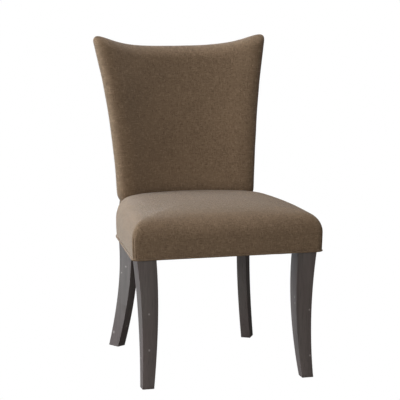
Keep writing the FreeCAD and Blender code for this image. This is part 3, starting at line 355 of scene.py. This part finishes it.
# ------------------------------------------------------------------ CAD nodes shown
SHOWN = {
    "front_leg_left": leg_wood, "front_leg_right": leg_wood, "rear_leg_left": leg_wood, "rear_leg_right": leg_wood,
    "front_rail": frame_wood, "side_rail_left": frame_wood, "side_rail_right": frame_wood, "rear_rail": frame_wood,
    "corner_block_front_left": frame_wood, "corner_block_front_right": frame_wood,
    "corner_block_rear_left": frame_wood, "corner_block_rear_right": frame_wood,
    "lower_back_rail": frame_wood, "crest_rail": frame_wood, "frame_dowels": frame_wood,
    "corner_block_screws": steel, "leg_bolts": steel, "leg_bolt_washers": steel, "leg_bolt_nuts": steel,
    "post_screws": steel, "webbing_tacks": steel, "dust_cover_staples": steel,
    "foot_glides": nylon,
    "webbing_front_to_back": web, "webbing_side_to_side": web, "seat_deck_cloth": deck,
    "dust_cover": dust, "inner_back_panel": ply, "outer_back_panel": board,
}
for nm, mat in SHOWN.items():
    ob = NODES[nm]
    ob.data.materials.clear()
    ob.data.materials.append(mat)
for nm in ("front_leg_left", "front_leg_right", "rear_leg_left", "rear_leg_right"):
    ob = NODES[nm]
    weld = ob.modifiers.new("weld", "WELD")
    weld.merge_threshold = 0.00002
    bev = ob.modifiers.new("ease", "BEVEL")
    bev.width = 0.0016
    bev.segments = 3
    bev.limit_method = "ANGLE"
    bev.angle_limit = math.radians(40)
    bev.use_clamp_overlap = True
    bev.harden_normals = False

# ------------------------------------------------------------------ blown-up cloth


def vertex_normals(verts, faces):
    nrm = np.zeros_like(verts)
    tri = [(f[0], f[k], f[k + 1]) for f in faces for k in range(1, len(f) - 1)]
    tri = np.array(tri)
    fn = np.cross(verts[tri[:, 1]] - verts[tri[:, 0]], verts[tri[:, 2]] - verts[tri[:, 0]])
    for c in range(3):
        np.add.at(nrm, tri[:, c], fn)
    return nrm / np.maximum(np.linalg.norm(nrm, axis=1, keepdims=True), 1e-12)


def blow_up(name, verts, faces, pin, shrink=0.0030, cap=0.0065, voxel=0.006, keep=0.0013):
    """Fill a closed padded shape like a cushion: its cloth starts a little small,
    is pressed out from inside for twenty frames while the seams hold it, and the
    shape it takes is passed on to the modelled surface.  pin is 1 where a seam or
    a tacked edge holds the cloth, 0 where it is free."""
    nrm = vertex_normals(verts, faces)
    start = verts - nrm * (shrink * (1 - pin))[:, None]
    src = bpy.data.meshes.new(name + "_start")
    src.from_pydata([tuple(v) for v in start], [], faces)
    src.update()
    ob = bpy.data.objects.new(name + "_blown", src)
    SCENE.collection.objects.link(ob)
    rem = ob.modifiers.new("remesh", "REMESH")
    rem.mode = "VOXEL"
    rem.voxel_size = voxel
    bpy.context.view_layer.update()
    shell = bpy.data.meshes.new_from_object(ob.evaluated_get(bpy.context.evaluated_depsgraph_get()))
    ob.modifiers.clear()
    ob.data = shell
    n = len(shell.vertices)
    rest = np.empty(n * 3)
    shell.vertices.foreach_get("co", rest)
    rest = rest.reshape(n, 3)
    tree = KDTree(len(start))
    for k, v in enumerate(start):
        tree.insert(v, k)
    tree.balance()
    group = ob.vertex_groups.new(name="held")
    for k, v in enumerate(rest):
        w = float(pin[tree.find(v)[1]])
        if w > 0.01:
            group.add([k], w, "REPLACE")
    mod = ob.modifiers.new("cloth", "CLOTH")
    c = mod.settings
    c.quality = 5
    c.mass = 0.3
    c.tension_stiffness = c.compression_stiffness = 15
    c.shear_stiffness = 5
    c.bending_stiffness = 1.0
    c.air_damping = 2.0
    c.use_pressure = True
    c.uniform_pressure_force = 4.0
    c.vertex_group_mass = "held"
    c.effector_weights.gravity = 0.0
    mod.collision_settings.use_collision = False
    mod.collision_settings.use_self_collision = False
    mod.point_cache.frame_start, mod.point_cache.frame_end = 1, 20
    for f in range(1, 21):
        SCENE.frame_set(f)
    done = ob.evaluated_get(bpy.context.evaluated_depsgraph_get())
    end = np.empty(n * 3)
    done.data.vertices.foreach_get("co", end)
    move = end.reshape(n, 3) - rest
    SCENE.frame_set(1)
    bpy.data.objects.remove(ob)
    far = np.linalg.norm(move, axis=1, keepdims=True)
    raw = float(far.mean()), float(far.max())
    move *= np.minimum(1.0, cap / np.maximum(far, 1e-9))
    pairs = np.empty(len(shell.edges) * 2, dtype=np.int64)
    shell.edges.foreach_get("vertices", pairs)
    pairs = pairs.reshape(-1, 2)
    count = np.bincount(pairs.ravel(), minlength=n)[:, None] + 1
    for _ in range(30):
        total = move.copy()
        for axis in range(3):
            total[:, axis] += np.bincount(pairs[:, 0], move[pairs[:, 1], axis], n) + np.bincount(pairs[:, 1], move[pairs[:, 0], axis], n)
        move = total / count
    tree = KDTree(n)
    for k, v in enumerate(rest):
        tree.insert(v, k)
    tree.balance()
    out = np.zeros_like(start)
    for k, v in enumerate(start):
        wsum, acc = 0.0, np.zeros(3)
        for _, idx, d in tree.find_n(v, 6):
            w = 1.0 / (d + 0.002) ** 2
            wsum += w
            acc += w * move[idx]
        out[k] = acc / wsum
    # the cushion keeps its average size; what stays is where it swells and where
    # the seams draw it in
    gain = ((start + out - verts) * nrm).sum(1)
    free = pin < 0.3
    gain -= np.median(gain[free])
    gain = keep * (np.tanh(0.35 * gain / keep) + 0.5) * (1 - pin)
    print("%s: %d points, moved %.4f mean, %.4f most; kept %.4f to %.4f" % (name, n, raw[0], raw[1], gain.min(), gain.max()))
    return verts + nrm * gain[:, None]


# ------------------------------------------------------------------ the back
TURN = math.radians(31.0)
SN, CS = math.sin(TURN), math.cos(TURN)
KZ = [0.3825, 0.450, 0.500, 0.540, 0.600, 0.690, 0.780, 0.870, 0.960, 1.015]
KX = [0.1915, 0.1915, 0.1922, 0.1937, 0.1973, 0.2046, 0.2155, 0.2289, 0.2461, 0.2564]
KY = [0.1635, 0.1638, 0.1652, 0.1676, 0.1730, 0.1839, 0.1984, 0.2154, 0.2353, 0.2490]
TX, TY = hermite(KZ, KX), hermite(KZ, KY)
CREST = hermite([0.0, 0.060, 0.090, 0.120, 0.150, 0.180, 0.210, 0.230, 0.250, 0.268, 0.285, 0.300],
                [0.9630, 0.9636, 0.9648, 0.9670, 0.9702, 0.9752, 0.9826, 0.9886, 0.9944, 0.9986, 1.0000, 1.0002])
HALF = 0.033
EDGE_W = 0.090          # width of the soft roll towards the ends
TOP_W = 0.055           # height of the soft roll along the top
SOFT_N = 3.6            # fullness of that roll
REAR_R = 0.030          # radius of the rear edge
CORNER_P = 6.2          # how square the raised corners are
RIDGE = 0.008           # how far the top ridge lies behind the middle
EAR = hermite([0.0, 0.12, 0.15, 0.18, 0.21, 0.24, 0.26, 0.28, 0.32], [0.0002, 0.0003, 0.0005, 0.0008, 0.0017, 0.0028, 0.0038, 0.0050, 0.0056])


def level(z):
    return np.interp(z, *TX), np.interp(z, *TY)


def arc_half(z):
    x, _ = level(z)
    return x / SN * TURN


def place(s, o, z):
    x, y = level(z)
    r = x / SN
    y0 = y - r * CS
    th = np.clip(s / r, -TURN, TURN)
    extra = np.maximum(np.abs(s) - r * TURN, 0) * np.sign(s)
    rr = r + o
    px = rr * np.sin(th) + extra * CS
    py = y0 + rr * np.cos(th) - np.abs(extra) * SN
    return np.stack([px, py, z], -1)


def pinch(z):
    """How far the ends of the back are drawn in where the back meets the seat."""
    return 0.0125 * np.exp(-((z - 0.477) / 0.015) ** 2)


def quarter(d, radius):
    """Squared height of a round edge at distance d from its tip."""
    q = np.clip(1 - d / radius, 0, 1)
    return 1 - q * q


def build_back():
    # across: 1 at the outline, 0 where the soft roll begins
    edge = sorted(set([round(math.sin(math.radians(d)), 6) for d in np.linspace(0, 90, 26)] + [0.9905, 0.9965, 0.999]))
    edge = np.array(edge)
    inner = np.linspace(-1, 1, 41)[1:-1]
    A = np.concatenate([-edge[::-1], np.zeros(len(inner)), edge])
    U = np.concatenate([-np.ones(len(edge)), inner, np.ones(len(edge))])
    zlow = 0.3826
    vert = np.linspace(0, 1, 97)[:-1]
    Bt = np.concatenate([np.zeros(len(vert)), edge])
    Vt = np.concatenate([vert, np.ones(len(edge))])
    a, b = np.meshgrid(A, Bt, indexing="ij")
    u, v = np.meshgrid(U, Vt, indexing="ij")
    aa = np.abs(a)
    m = np.maximum(aa, b)
    norm = (aa**CORNER_P + b**CORNER_P) ** (1 / CORNER_P)
    k = np.where(norm > 1e-9, m / np.maximum(norm, 1e-9), 1.0)
    ea, eb, r = aa * k, b * k, m
    z = zlow + v * (0.96 - zlow)
    for _ in range(16):
        S = arc_half(z) + HALF - pinch(z)
        s = np.sign(a) * (S - EDGE_W + ea * EDGE_W)
        flat = u * (S - EDGE_W)
        s = np.where(aa > 0, s, flat)
        X = np.abs(place(s, 0 * s, z)[..., 0])
        zt = np.interp(X, *CREST) + np.interp(X, *EAR)
        z = np.where(b > 0, zt - TOP_W + eb * TOP_W, zlow + v * (zt - TOP_W - zlow))
    least = np.minimum(ea, eb)
    t_front = HALF * np.sqrt(np.maximum(0, (1 - r**SOFT_N) * (1 - least**SOFT_N)))
    wide = EDGE_W + (TOP_W - EDGE_W) * eb**2 / np.maximum(ea**2 + eb**2, 1e-9)
    t_rear = HALF * np.sqrt(np.maximum(0, quarter((1 - r) * wide, REAR_R) * quarter((1 - least) * wide, REAR_R)))
    shift = RIDGE * np.clip((eb - 0.30) / 0.70, 0, 1) ** 2
    depth = (1 - r) * wide
    ni, nj = a.shape
    # a seam runs round the rear edge of the back, parallel with its outline
    seam = np.exp(-((depth - 0.020) / 0.0014) ** 2)
    beside = np.exp(-((depth - 0.0162) / 0.0020) ** 2) + np.exp(-((depth - 0.0238) / 0.0020) ** 2)
    front = place(s, shift - t_front, z)
    rear = place(s, shift + t_rear, z)
    flat_pos = np.stack([s, z], -1)

    verts, index = [], {}

    def vid(sheet, i, j):
        edge_point = i == 0 or i == ni - 1 or j == nj - 1
        key = ("e" if edge_point else sheet, i, j)
        if key not in index:
            index[key] = len(verts)
            verts.append(front[i, j] if sheet == "f" or edge_point else rear[i, j])
        return index[key]

    faces, uvs, closed = [], [], []
    for sheet in ("f", "r"):
        for i in range(ni - 1):
            for j in range(nj - 1):
                hidden = sheet == "f" and z[i:i + 2, j:j + 2].mean() < 0.462 and r[i:i + 2, j:j + 2].mean() < 0.93
                q = [vid(sheet, i, j), vid(sheet, i + 1, j), vid(sheet, i + 1, j + 1), vid(sheet, i, j + 1)]
                ij = [(i, j), (i + 1, j), (i + 1, j + 1), (i, j + 1)]
                if sheet == "r":
                    q, ij = q[::-1], ij[::-1]
                if len(set(q)) < 4:
                    continue
                closed.append(q)
                if hidden:
                    continue
                faces.append(q)
                uvs.append([(flat_pos[p][0] + (3.0 if sheet == "r" else 0.0), flat_pos[p][1]) for p in ij])
    for i in range(ni - 1):
        q = [vid("f", i, 0), vid("r", i, 0), vid("r", i + 1, 0), vid("f", i + 1, 0)]
        if len(set(q)) > 2:
            closed.append(list(dict.fromkeys(q)))
    verts = np.array(verts)
    # held by the frame at the bottom and behind the seat, and by the rear seam
    pin = np.zeros(len(verts))
    for (sheet, i, j), n in index.items():
        zz = z[i, j]
        hold = 1 - smoothstep((zz - 0.388) / 0.020)
        if sheet == "f":
            hold = max(hold, 1 - smoothstep((zz - 0.482) / 0.022))
        if sheet == "r":
            hold = max(hold, 0.75 * float(np.exp(-((depth[i, j] - 0.020) / 0.004) ** 2)))
        pin[n] = max(pin[n], float(hold))
    verts = blow_up("back", verts, closed, pin)
    # outward direction of each vertex, for the seam and the slight unevenness
    nrm = vertex_normals(verts, closed)
    push = waves(verts, 11, 10, 0.16, 0.00045) + waves(verts, 12, 12, 0.06, 0.00016)
    for (sheet, i, j), n in index.items():
        if sheet == "r":
            push[n] += -0.0016 * seam[i, j] + 0.0007 * beside[i, j]
    verts = verts + nrm * push[:, None]
    # hem turned in under the rear rail
    low = {}
    for (sheet, i, j), n in index.items():
        if j == 0 and sheet in ("r", "e"):
            low[i] = n
    verts = [tuple(p) for p in verts]
    prev = None
    for i in sorted(low):
        base_n = low[i]
        o_out = float((shift + t_rear)[i, 0])
        p1 = place(s[i:i + 1, 0] * (1 - 0.004 / 0.2), np.array([max(o_out - 0.0045, 0.0)]), np.array([0.3815]))[0]
        p2 = place(s[i:i + 1, 0] * (1 - 0.016 / 0.2), np.array([max(o_out - 0.017, -0.004)]), np.array([0.3813]))[0]
        ids = [base_n]
        for p in (p1, p2):
            ids.append(len(verts))
            verts.append(tuple(p))
        if prev is not None:
            for k2 in range(2):
                faces.append([prev[k2], prev[k2 + 1], ids[k2 + 1], ids[k2]])
                sv = float(s[i, 0])
                uvs.append([(sv, -0.01 * k2), (sv, -0.01 * (k2 + 1)), (sv + 0.005, -0.01 * (k2 + 1)), (sv + 0.005, -0.01 * k2)])
        prev = ids
    used = sorted(set(k for f in faces for k in f))
    new = {k: m_ for m_, k in enumerate(used)}
    return make_mesh("back_cover_cloth", [verts[k] for k in used], [[new[k] for k in f] for f in faces], uvs)


back = build_back()

# ------------------------------------------------------------------ the seat
FRONT_Y, HALF_FRONT, TAPER, SIDE_REF = -0.3325, 0.2882, 0.0973, -0.3135
WALL_TOP, CROWN, MID_Y = 0.440, 0.514, -0.080
HEM_Z = 0.3868


def side_x(y):
    return HALF_FRONT - TAPER * (y - SIDE_REF)


def front_corner(inset=0.0):
    """The right front corner in plan: a slow bend on the front, then a tight
    one on to the side.  Gives the points and how many lie on the slow bend."""
    slow_r, slow_t, tight_r = 0.028 - inset, math.radians(36), 0.0125 - inset
    turn = math.pi / 2 + math.atan(TAPER)
    dx = slow_r * math.sin(slow_t) + tight_r * (math.sin(turn) - math.sin(slow_t))
    dy = slow_r * (1 - math.cos(slow_t)) + tight_r * (math.cos(slow_t) - math.cos(turn))
    yf = FRONT_Y + inset
    x1 = side_x(yf + dy) - inset / math.cos(math.atan(TAPER)) - dx
    pts = []
    for k in range(19):
        t = slow_t * k / 18
        pts.append((x1 + slow_r * math.sin(t), yf + slow_r * (1 - math.cos(t))))
    bx, by = pts[-1]
    for k in range(1, 25):
        t = slow_t + (turn - slow_t) * k / 24
        pts.append((bx + tight_r * (math.sin(t) - math.sin(slow_t)), by + tight_r * (math.cos(slow_t) - math.cos(t))))
    return pts


def seat_outline():
    """Plan outline from the front middle to the right, back and left round to the
    front middle, and the place of the corner's seam in it."""
    corner = front_corner()
    pts = [(x, FRONT_Y) for x in np.linspace(0, corner[0][0], 40)[:-1]]
    pts += corner
    p_end = pts[-1]
    for y in np.linspace(p_end[1], 0.035, 46)[1:]:
        pts.append((side_x(y), y))
    # rear corner turns in behind the end of the back
    tail = [(side_x(0.015), 0.015), (side_x(0.035), 0.035), (0.2508, 0.070), (0.2440, 0.096), (0.2332, 0.121), (0.2198, 0.141)]
    rad = 0.1915 / SN
    yc = 0.1638 - rad * CS
    for deg in (30, 25, 19, 13, 6.5, 0):
        tail.append((rad * math.sin(math.radians(deg)), yc + rad * math.cos(math.radians(deg))))
    tail = np.array(tail)
    # smooth curve through the tail points
    d = np.concatenate([[0], np.cumsum(np.sqrt(np.hypot(*np.diff(tail, axis=0).T)))])
    fx, fy = hermite(d, tail[:, 0], 500), hermite(d, tail[:, 1], 500)
    q = np.linspace(d[1], d[-1], 90)[1:]
    for t in q:
        pts.append((float(np.interp(t, *fx)), float(np.interp(t, *fy))))
    pts[-1] = (0.0, pts[-1][1])
    left = [(-x, y) for x, y in pts[1:-1]][::-1]
    return np.array(pts + left), 39 + 21


def seat_top(y, f):
    ty = [-0.333, -0.290, -0.220, -0.120, 0.0, 0.120, 0.240]
    tz = [0.4880, 0.4925, 0.4990, 0.5045, 0.5066, 0.5046, 0.5005]
    rim = np.interp(y, *hermite(ty, tz))
    return rim + (CROWN - rim) * np.maximum(0.0, 1 - f * f)


def build_seat():
    out, corner = seat_outline()
    n = len(out)
    mid = np.array([0.0, MID_Y])
    # seam weights round the outline: one seam down each front corner
    seg = np.hypot(*np.diff(np.vstack([out, out[:1]]), axis=0).T)
    along = np.concatenate([[0], np.cumsum(seg)[:-1]])
    total = seg.sum()
    dist = np.minimum(np.abs(along - along[corner]), np.abs(along - (total - along[corner])))
    nxt, prv = np.roll(out, -1, 0), np.roll(out, 1, 0)
    tang = nxt - prv
    tang /= np.linalg.norm(tang, axis=1, keepdims=True)
    normal = np.stack([tang[:, 1], -tang[:, 0]], -1)
    rings = []
    depth = []
    # turned-in strip under the rails, then up the wall
    def ring(inset, z):
        return np.column_stack([out - normal * inset, np.full(n, z)])
    rings.append(ring(0.0116, 0.3826)); depth.append(-0.014)
    rings.append(ring(0.0062, 0.3828)); depth.append(-0.008)
    rings.append(ring(0.0050, 0.3850)); depth.append(-0.005)
    rings.append(ring(0.0036, HEM_Z - 0.0004)); depth.append(-0.002)
    rings.append(ring(0.0019, HEM_Z + 0.0004)); depth.append(0.0)
    for z in np.linspace(HEM_Z + 0.0022, WALL_TOP, 20):
        w = (z - HEM_Z) / (WALL_TOP - HEM_Z)
        inset = 0.0016 - 0.0012 * math.sin(math.pi * 0.5 * min(1.0, w * 1.2)) * 1.0
        rings.append(ring(inset * (1 - w**4), z))
        depth.append(z - HEM_Z)
    # the roll on to the top is wide along the front and tighter at the sides
    facing = np.degrees(np.abs(np.arctan2(out[:, 0], -(out[:, 1] - MID_Y))))
    soft = 0.40 + 0.37 * smoothstep((54 - facing) / 34)
    tail_zone = smoothstep((out[:, 1] + 0.02) / 0.06) * smoothstep((np.abs(out[:, 0]) - 0.17) / 0.05)
    span = 0.28
    f_list = [1 - span + span * math.cos(math.radians(d)) ** 0.42 for d in np.linspace(0, 88, 44)[1:]]
    f_list += list(np.arange(0.925, 0.80, -0.006))
    f_list = sorted(set(round(f, 5) for f in f_list), reverse=True)
    keep = [f_list[0]]
    for f in f_list[1:]:
        if keep[-1] - f > 0.0012:
            keep.append(f)
    y0b = float(level(0.50)[1] - level(0.50)[0] / SN * CS)
    r0b = float(level(0.50)[0] / SN - HALF)

    def sunk(xy):
        """The top dips where it meets the front of the back."""
        gap = r0b - np.hypot(xy[:, 0], xy[:, 1] - y0b)
        return 0.0095 * (1 - smoothstep((gap + 0.003) / 0.017))

    for f in keep:
        x = max((f - (1 - span)) / span, 0.0)
        p = np.sqrt(np.maximum(0, 1 - x ** (2 / soft)))
        fr = f - 0.010 * tail_zone * smoothstep((p - 0.25) / 0.5) * smoothstep((f - 0.70) / 0.15)
        xy = mid + (out - mid) * fr[:, None]
        zz = WALL_TOP + (seat_top(xy[:, 1], f) - WALL_TOP) * p - sunk(xy) * smoothstep((p - 0.8) / 0.15)
        rings.append(np.column_stack([xy, zz]))
        depth.append(None)
    for f in np.linspace(keep[-1], 0.03, 34)[1:]:
        xy = mid + (out - mid) * f
        rings.append(np.column_stack([xy, seat_top(xy[:, 1], f) - sunk(xy)]))
        depth.append(None)
    R = np.array(rings)
    nr = len(R)
    # held along the hem, at the corner seams and where the back sits on it
    hold = 1 - smoothstep((R[:, :, 2] - HEM_Z - 0.001) / 0.018)
    stitched = 0.8 * np.exp(-(dist / 0.004) ** 2)[None, :] * (1 - smoothstep((R[:, :, 2] - 0.447) / 0.012))
    gap = r0b - np.hypot(R[:, :, 0], R[:, :, 1] - y0b)
    under = 1 - smoothstep((gap - 0.002) / 0.022)
    pin = np.maximum(np.maximum(hold, stitched), under).reshape(-1)
    ring_faces = [[k * n + i, k * n + (i + 1) % n, (k + 1) * n + (i + 1) % n, (k + 1) * n + i] for k in range(nr - 1) for i in range(n)]
    ends = np.array([[mid[0], mid[1], 0.3826], [mid[0], mid[1], float(seat_top(np.array([MID_Y]), 0.0)[0])]])
    closed = ring_faces + [[(nr - 1) * n + i, (nr - 1) * n + (i + 1) % n, nr * n + 1] for i in range(n)]
    closed += [[(i + 1) % n, i, nr * n] for i in range(n)]
    R = blow_up("seat", np.vstack([R.reshape(-1, 3), ends]), closed, np.concatenate([pin, [1.0, 0.0]]))
    top_point = R[-1]
    R = R[:-2].reshape(nr, n, 3)
    # seams and slight puckers at the front corners
    zz = R[:, :, 2]
    seam = np.exp(-(dist / 0.0012) ** 2)[None, :] * (1 - smoothstep((zz - 0.447) / 0.012))
    lip = np.exp(-((dist - 0.0048) / 0.0022) ** 2)[None, :] * (1 - smoothstep((zz - 0.447) / 0.012))
    push = -0.0013 * seam + 0.0007 * lip
    push[:3] = 0
    flat = R.reshape(-1, 3)
    wob = (waves(flat, 21, 10, 0.17, 0.0004) + waves(flat, 22, 12, 0.07, 0.00015)).reshape(nr, n)
    # outward directions from the ring grid
    du = np.roll(R, -1, 1) - np.roll(R, 1, 1)
    dv = np.empty_like(R)
    dv[1:-1] = R[2:] - R[:-2]
    dv[0], dv[-1] = R[1] - R[0], R[-1] - R[-2]
    nv = np.cross(du, dv)
    nv /= np.maximum(np.linalg.norm(nv, axis=2, keepdims=True), 1e-12)
    wob[:6] = 0
    R = R + nv * (push + wob)[:, :, None]
    verts = [tuple(p) for p in R.reshape(-1, 3)]
    verts.append((mid[0], mid[1], float(top_point[2])))
    # cloth coordinates: run down the walls from the top
    step = np.linalg.norm(np.diff(R, axis=0), axis=2)
    down = np.vstack([np.cumsum(step[::-1], axis=0)[::-1], np.zeros((1, n))])
    faces, uvs = [], []
    ang = np.arctan2(out[:, 0], -(out[:, 1] - MID_Y))
    a_corner = ang[corner]

    def uv(k, i, side):
        x, y = R[k, i, 0], R[k, i, 1]
        drop = max(0.0, 0.50 - zz[k, i])
        if side == 0:
            return (x, y - drop)
        return (x + math.copysign(drop, x), y)

    for k in range(nr - 1):
        for i in range(n):
            j = (i + 1) % n
            am = abs(ang[i] + ang[j]) / 2 if abs(ang[i] - ang[j]) < 1 else abs(ang[i])
            side = 0 if (am <= a_corner + 1e-6 or am > 2.2) else 1
            faces.append([k * n + i, k * n + j, (k + 1) * n + j, (k + 1) * n + i])
            uvs.append([uv(k, i, side), uv(k, j, side), uv(k + 1, j, side), uv(k + 1, i, side)])
    c = len(verts) - 1
    for i in range(n):
        j = (i + 1) % n
        faces.append([(nr - 1) * n + i, (nr - 1) * n + j, c])
        uvs.append([(R[-1, i, 0], R[-1, i, 1]), (R[-1, j, 0], R[-1, j, 1]), (mid[0], mid[1])])
    return make_mesh("seat_cover_cloth", verts, faces, uvs)


seat = build_seat()

# ------------------------------------------------------------------ the welt


def build_welt():
    out, _ = seat_outline()
    half = out[:len(out) // 2 + 1]
    tang = np.gradient(half, axis=0)
    tang[0] = (1, 0)
    tang /= np.linalg.norm(tang, axis=1, keepdims=True)
    right = half - np.column_stack([tang[:, 1], -tang[:, 0]]) * 0.0012
    right = right[(right[:, 1] < 0.118) | (np.arange(len(right)) < 80)]
    left = right[1:][::-1] * [-1, 1]
    line = np.vstack([left, right])
    d = np.concatenate([[0], np.cumsum(np.hypot(*np.diff(line, axis=0).T))])
    q = np.linspace(0, d[-1], 900)
    line = np.column_stack([np.interp(q, d, line[:, 0]), np.interp(q, d, line[:, 1])])
    tang = np.gradient(line, axis=0)
    tang /= np.linalg.norm(tang, axis=1, keepdims=True)
    nrm = np.column_stack([tang[:, 1], -tang[:, 0]])
    zc = 0.3843
    verts, faces, uvs = [], [], []
    m = 14
    wob = waves(np.column_stack([line, np.zeros(len(line))]), 31, 8, 0.05, 0.00012)
    for i in range(len(line)):
        for k in range(m):
            t = 2 * math.pi * k / m
            rr = 0.0029 + wob[i] + 0.00005 * math.sin(q[i] / 0.0011 + t)
            verts.append((line[i, 0] + nrm[i, 0] * rr * math.cos(t), line[i, 1] + nrm[i, 1] * rr * math.cos(t), zc + rr * math.sin(t)))
    for i in range(len(line) - 1):
        for k in range(m):
            k2 = (k + 1) % m
            faces.append([i * m + k, (i + 1) * m + k, (i + 1) * m + k2, i * m + k2])
            u0, u1, v0, v1 = q[i], q[i + 1], k * 0.001, (k + 1) * 0.001
            uvs.append([(u0, v0), (u1, v0), (u1, v1), (u0, v1)])
    for end in (0, len(line) - 1):
        ids = [end * m + k for k in range(m)]
        if end == 0:
            ids = ids
        else:
            ids = ids[::-1]
        faces.append(ids)
        uvs.append([(0, 0)] * m)
    return make_mesh("seat_welt_cord", verts, faces, uvs)


welt = build_welt()

for ob, mat in ((back, cloth), (seat, cloth), (welt, cord_cloth)):
    ob.data.materials.append(mat)
    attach(ob, "root")
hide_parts("seat_cover", "seat_batting", "seat_foam")
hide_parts("back_cover", "back_batting", "back_foam", "outer_back_padding")
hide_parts("seat_welt")

# ------------------------------------------------------------------ floor, light, camera


def stage_material(name):
    mat = bpy.data.materials.new(name)
    mat.use_nodes = True
    t = mat.node_tree
    t.nodes.clear()
    out = t.nodes.new("ShaderNodeOutputMaterial")
    em = t.nodes.new("ShaderNodeEmission")
    em.inputs["Color"].default_value = (1, 1, 1, 1)
    em.inputs["Strength"].default_value = 1.0
    clear = t.nodes.new("ShaderNodeBsdfTransparent")
    geo = t.nodes.new("ShaderNodeNewGeometry")
    mix = t.nodes.new("ShaderNodeMixShader")
    t.links.new(geo.outputs["Backfacing"], mix.inputs[0])
    t.links.new(em.outputs[0], mix.inputs[1])
    t.links.new(clear.outputs[0], mix.inputs[2])
    t.links.new(mix.outputs[0], out.inputs["Surface"])
    return mat


def build_stage():
    """White floor with a white surround, seen by the camera only."""
    white = stage_material("studio_white")
    n = 64
    R = 400.0
    verts = [(0, 0, 0)] + [(R * math.cos(2 * math.pi * k / n), R * math.sin(2 * math.pi * k / n), 0) for k in range(n)]
    faces = [[0, 1 + k, 1 + (k + 1) % n] for k in range(n)]
    floor = make_mesh("floor", verts, faces)
    dome_v, dome_f = [], []
    for lat in range(0, 13):
        e = -math.pi / 2 + math.pi * lat / 12
        for k in range(n):
            a = 2 * math.pi * k / n
            dome_v.append((1.2 * R * math.cos(e) * math.cos(a), 1.2 * R * math.cos(e) * math.sin(a), 1.2 * R * math.sin(e)))
    for lat in range(12):
        for k in range(n):
            k2 = (k + 1) % n
            dome_f.append([lat * n + k, lat * n + k2, (lat + 1) * n + k2, (lat + 1) * n + k])
    dome = make_mesh("surround", dome_v, dome_f)
    for ob in (floor, dome):
        ob.data.materials.append(white)
        ob.visible_diffuse = False
        ob.visible_glossy = False
        ob.visible_transmission = False
        ob.visible_shadow = False


build_stage()

def studio_world(low, high):
    """Dim surround: one level from below the horizon, one from above."""
    world = bpy.data.worlds.new("studio")
    SCENE.world = world
    world.use_nodes = True
    t = world.node_tree
    back_light = t.nodes["Background"]
    coords = t.nodes.new("ShaderNodeTexCoord")
    split = t.nodes.new("ShaderNodeSeparateXYZ")
    t.links.new(coords.outputs["Generated"], split.inputs[0])
    step = t.nodes.new("ShaderNodeMapRange")
    t.links.new(split.outputs[2], step.inputs[0])
    for k, v in enumerate((-0.05, 0.05, low, high), 1):
        step.inputs[k].default_value = v
    t.links.new(step.outputs[0], back_light.inputs["Strength"])
    back_light.inputs["Color"].default_value = (1.0, 0.985, 0.965, 1)


def area(name, side, height, power, colour=(1, 1, 1)):
    """Soft box 4 m from the chair; side is in degrees from the front towards
    the chair's left, height in degrees above the seat."""
    a, e = math.radians(side), math.radians(height)
    aim = Vector((0, 0, 0.5))
    loc = aim + 4.0 * Vector((-math.sin(a) * math.cos(e), -math.cos(a) * math.cos(e), math.sin(e)))
    ld = bpy.data.lights.new(name, "AREA")
    ld.shape = "RECTANGLE"
    ld.size, ld.size_y = 1.8, 1.8
    ld.energy = power
    ld.color = colour
    ob = bpy.data.objects.new(name, ld)
    ob.location = loc
    ob.rotation_euler = (aim - loc).to_track_quat("-Z", "Y").to_euler()
    SCENE.collection.objects.link(ob)
    ob.visible_camera = False
    return ob


studio_world(0.070, 0.0)
NEUTRAL, COOL, COOLER = (1.0, 1.0, 0.98), (1.0, 1.0, 1.0), (0.91, 1.0, 1.07)
area("front", 15, 8, 41.5, NEUTRAL)
area("front_left", 45, 8, 30.5, NEUTRAL)
area("front_right", -15, 8, 18.0, NEUTRAL)
area("over_left", 60, 60, 37.0, COOL)
area("over_behind_left", 120, 60, 84.0, COOL)
area("over_behind_right", -120, 60, 60.0, COOL)
area("side_left", 75, 8, 19.2, COOL)
area("side_left_back", 105, 8, 176.0, COOLER)
area("behind_left_low", 165, 8, 72.0, COOLER)
area("behind_left_high", 165, 33, 38.0, COOLER)

cam_data = bpy.data.cameras.new("camera")
cam_data.sensor_width = 36.0
cam_data.lens = 1483.478 / 400 * 36
cam_data.clip_start, cam_data.clip_end = 0.1, 2000
cam = bpy.data.objects.new("camera", cam_data)
SCENE.collection.objects.link(cam)
cam.location = (-1.20968, -4.39184, 1.18830)
az, el = math.radians(15.409), math.radians(8.597)
look = Vector((math.sin(az) * math.cos(el), math.cos(az) * math.cos(el), -math.sin(el)))
cam.rotation_euler = look.to_track_quat("-Z", "Y").to_euler()
SCENE.camera = cam

SCENE.view_settings.view_transform = "Standard"
SCENE.view_settings.look = "None"
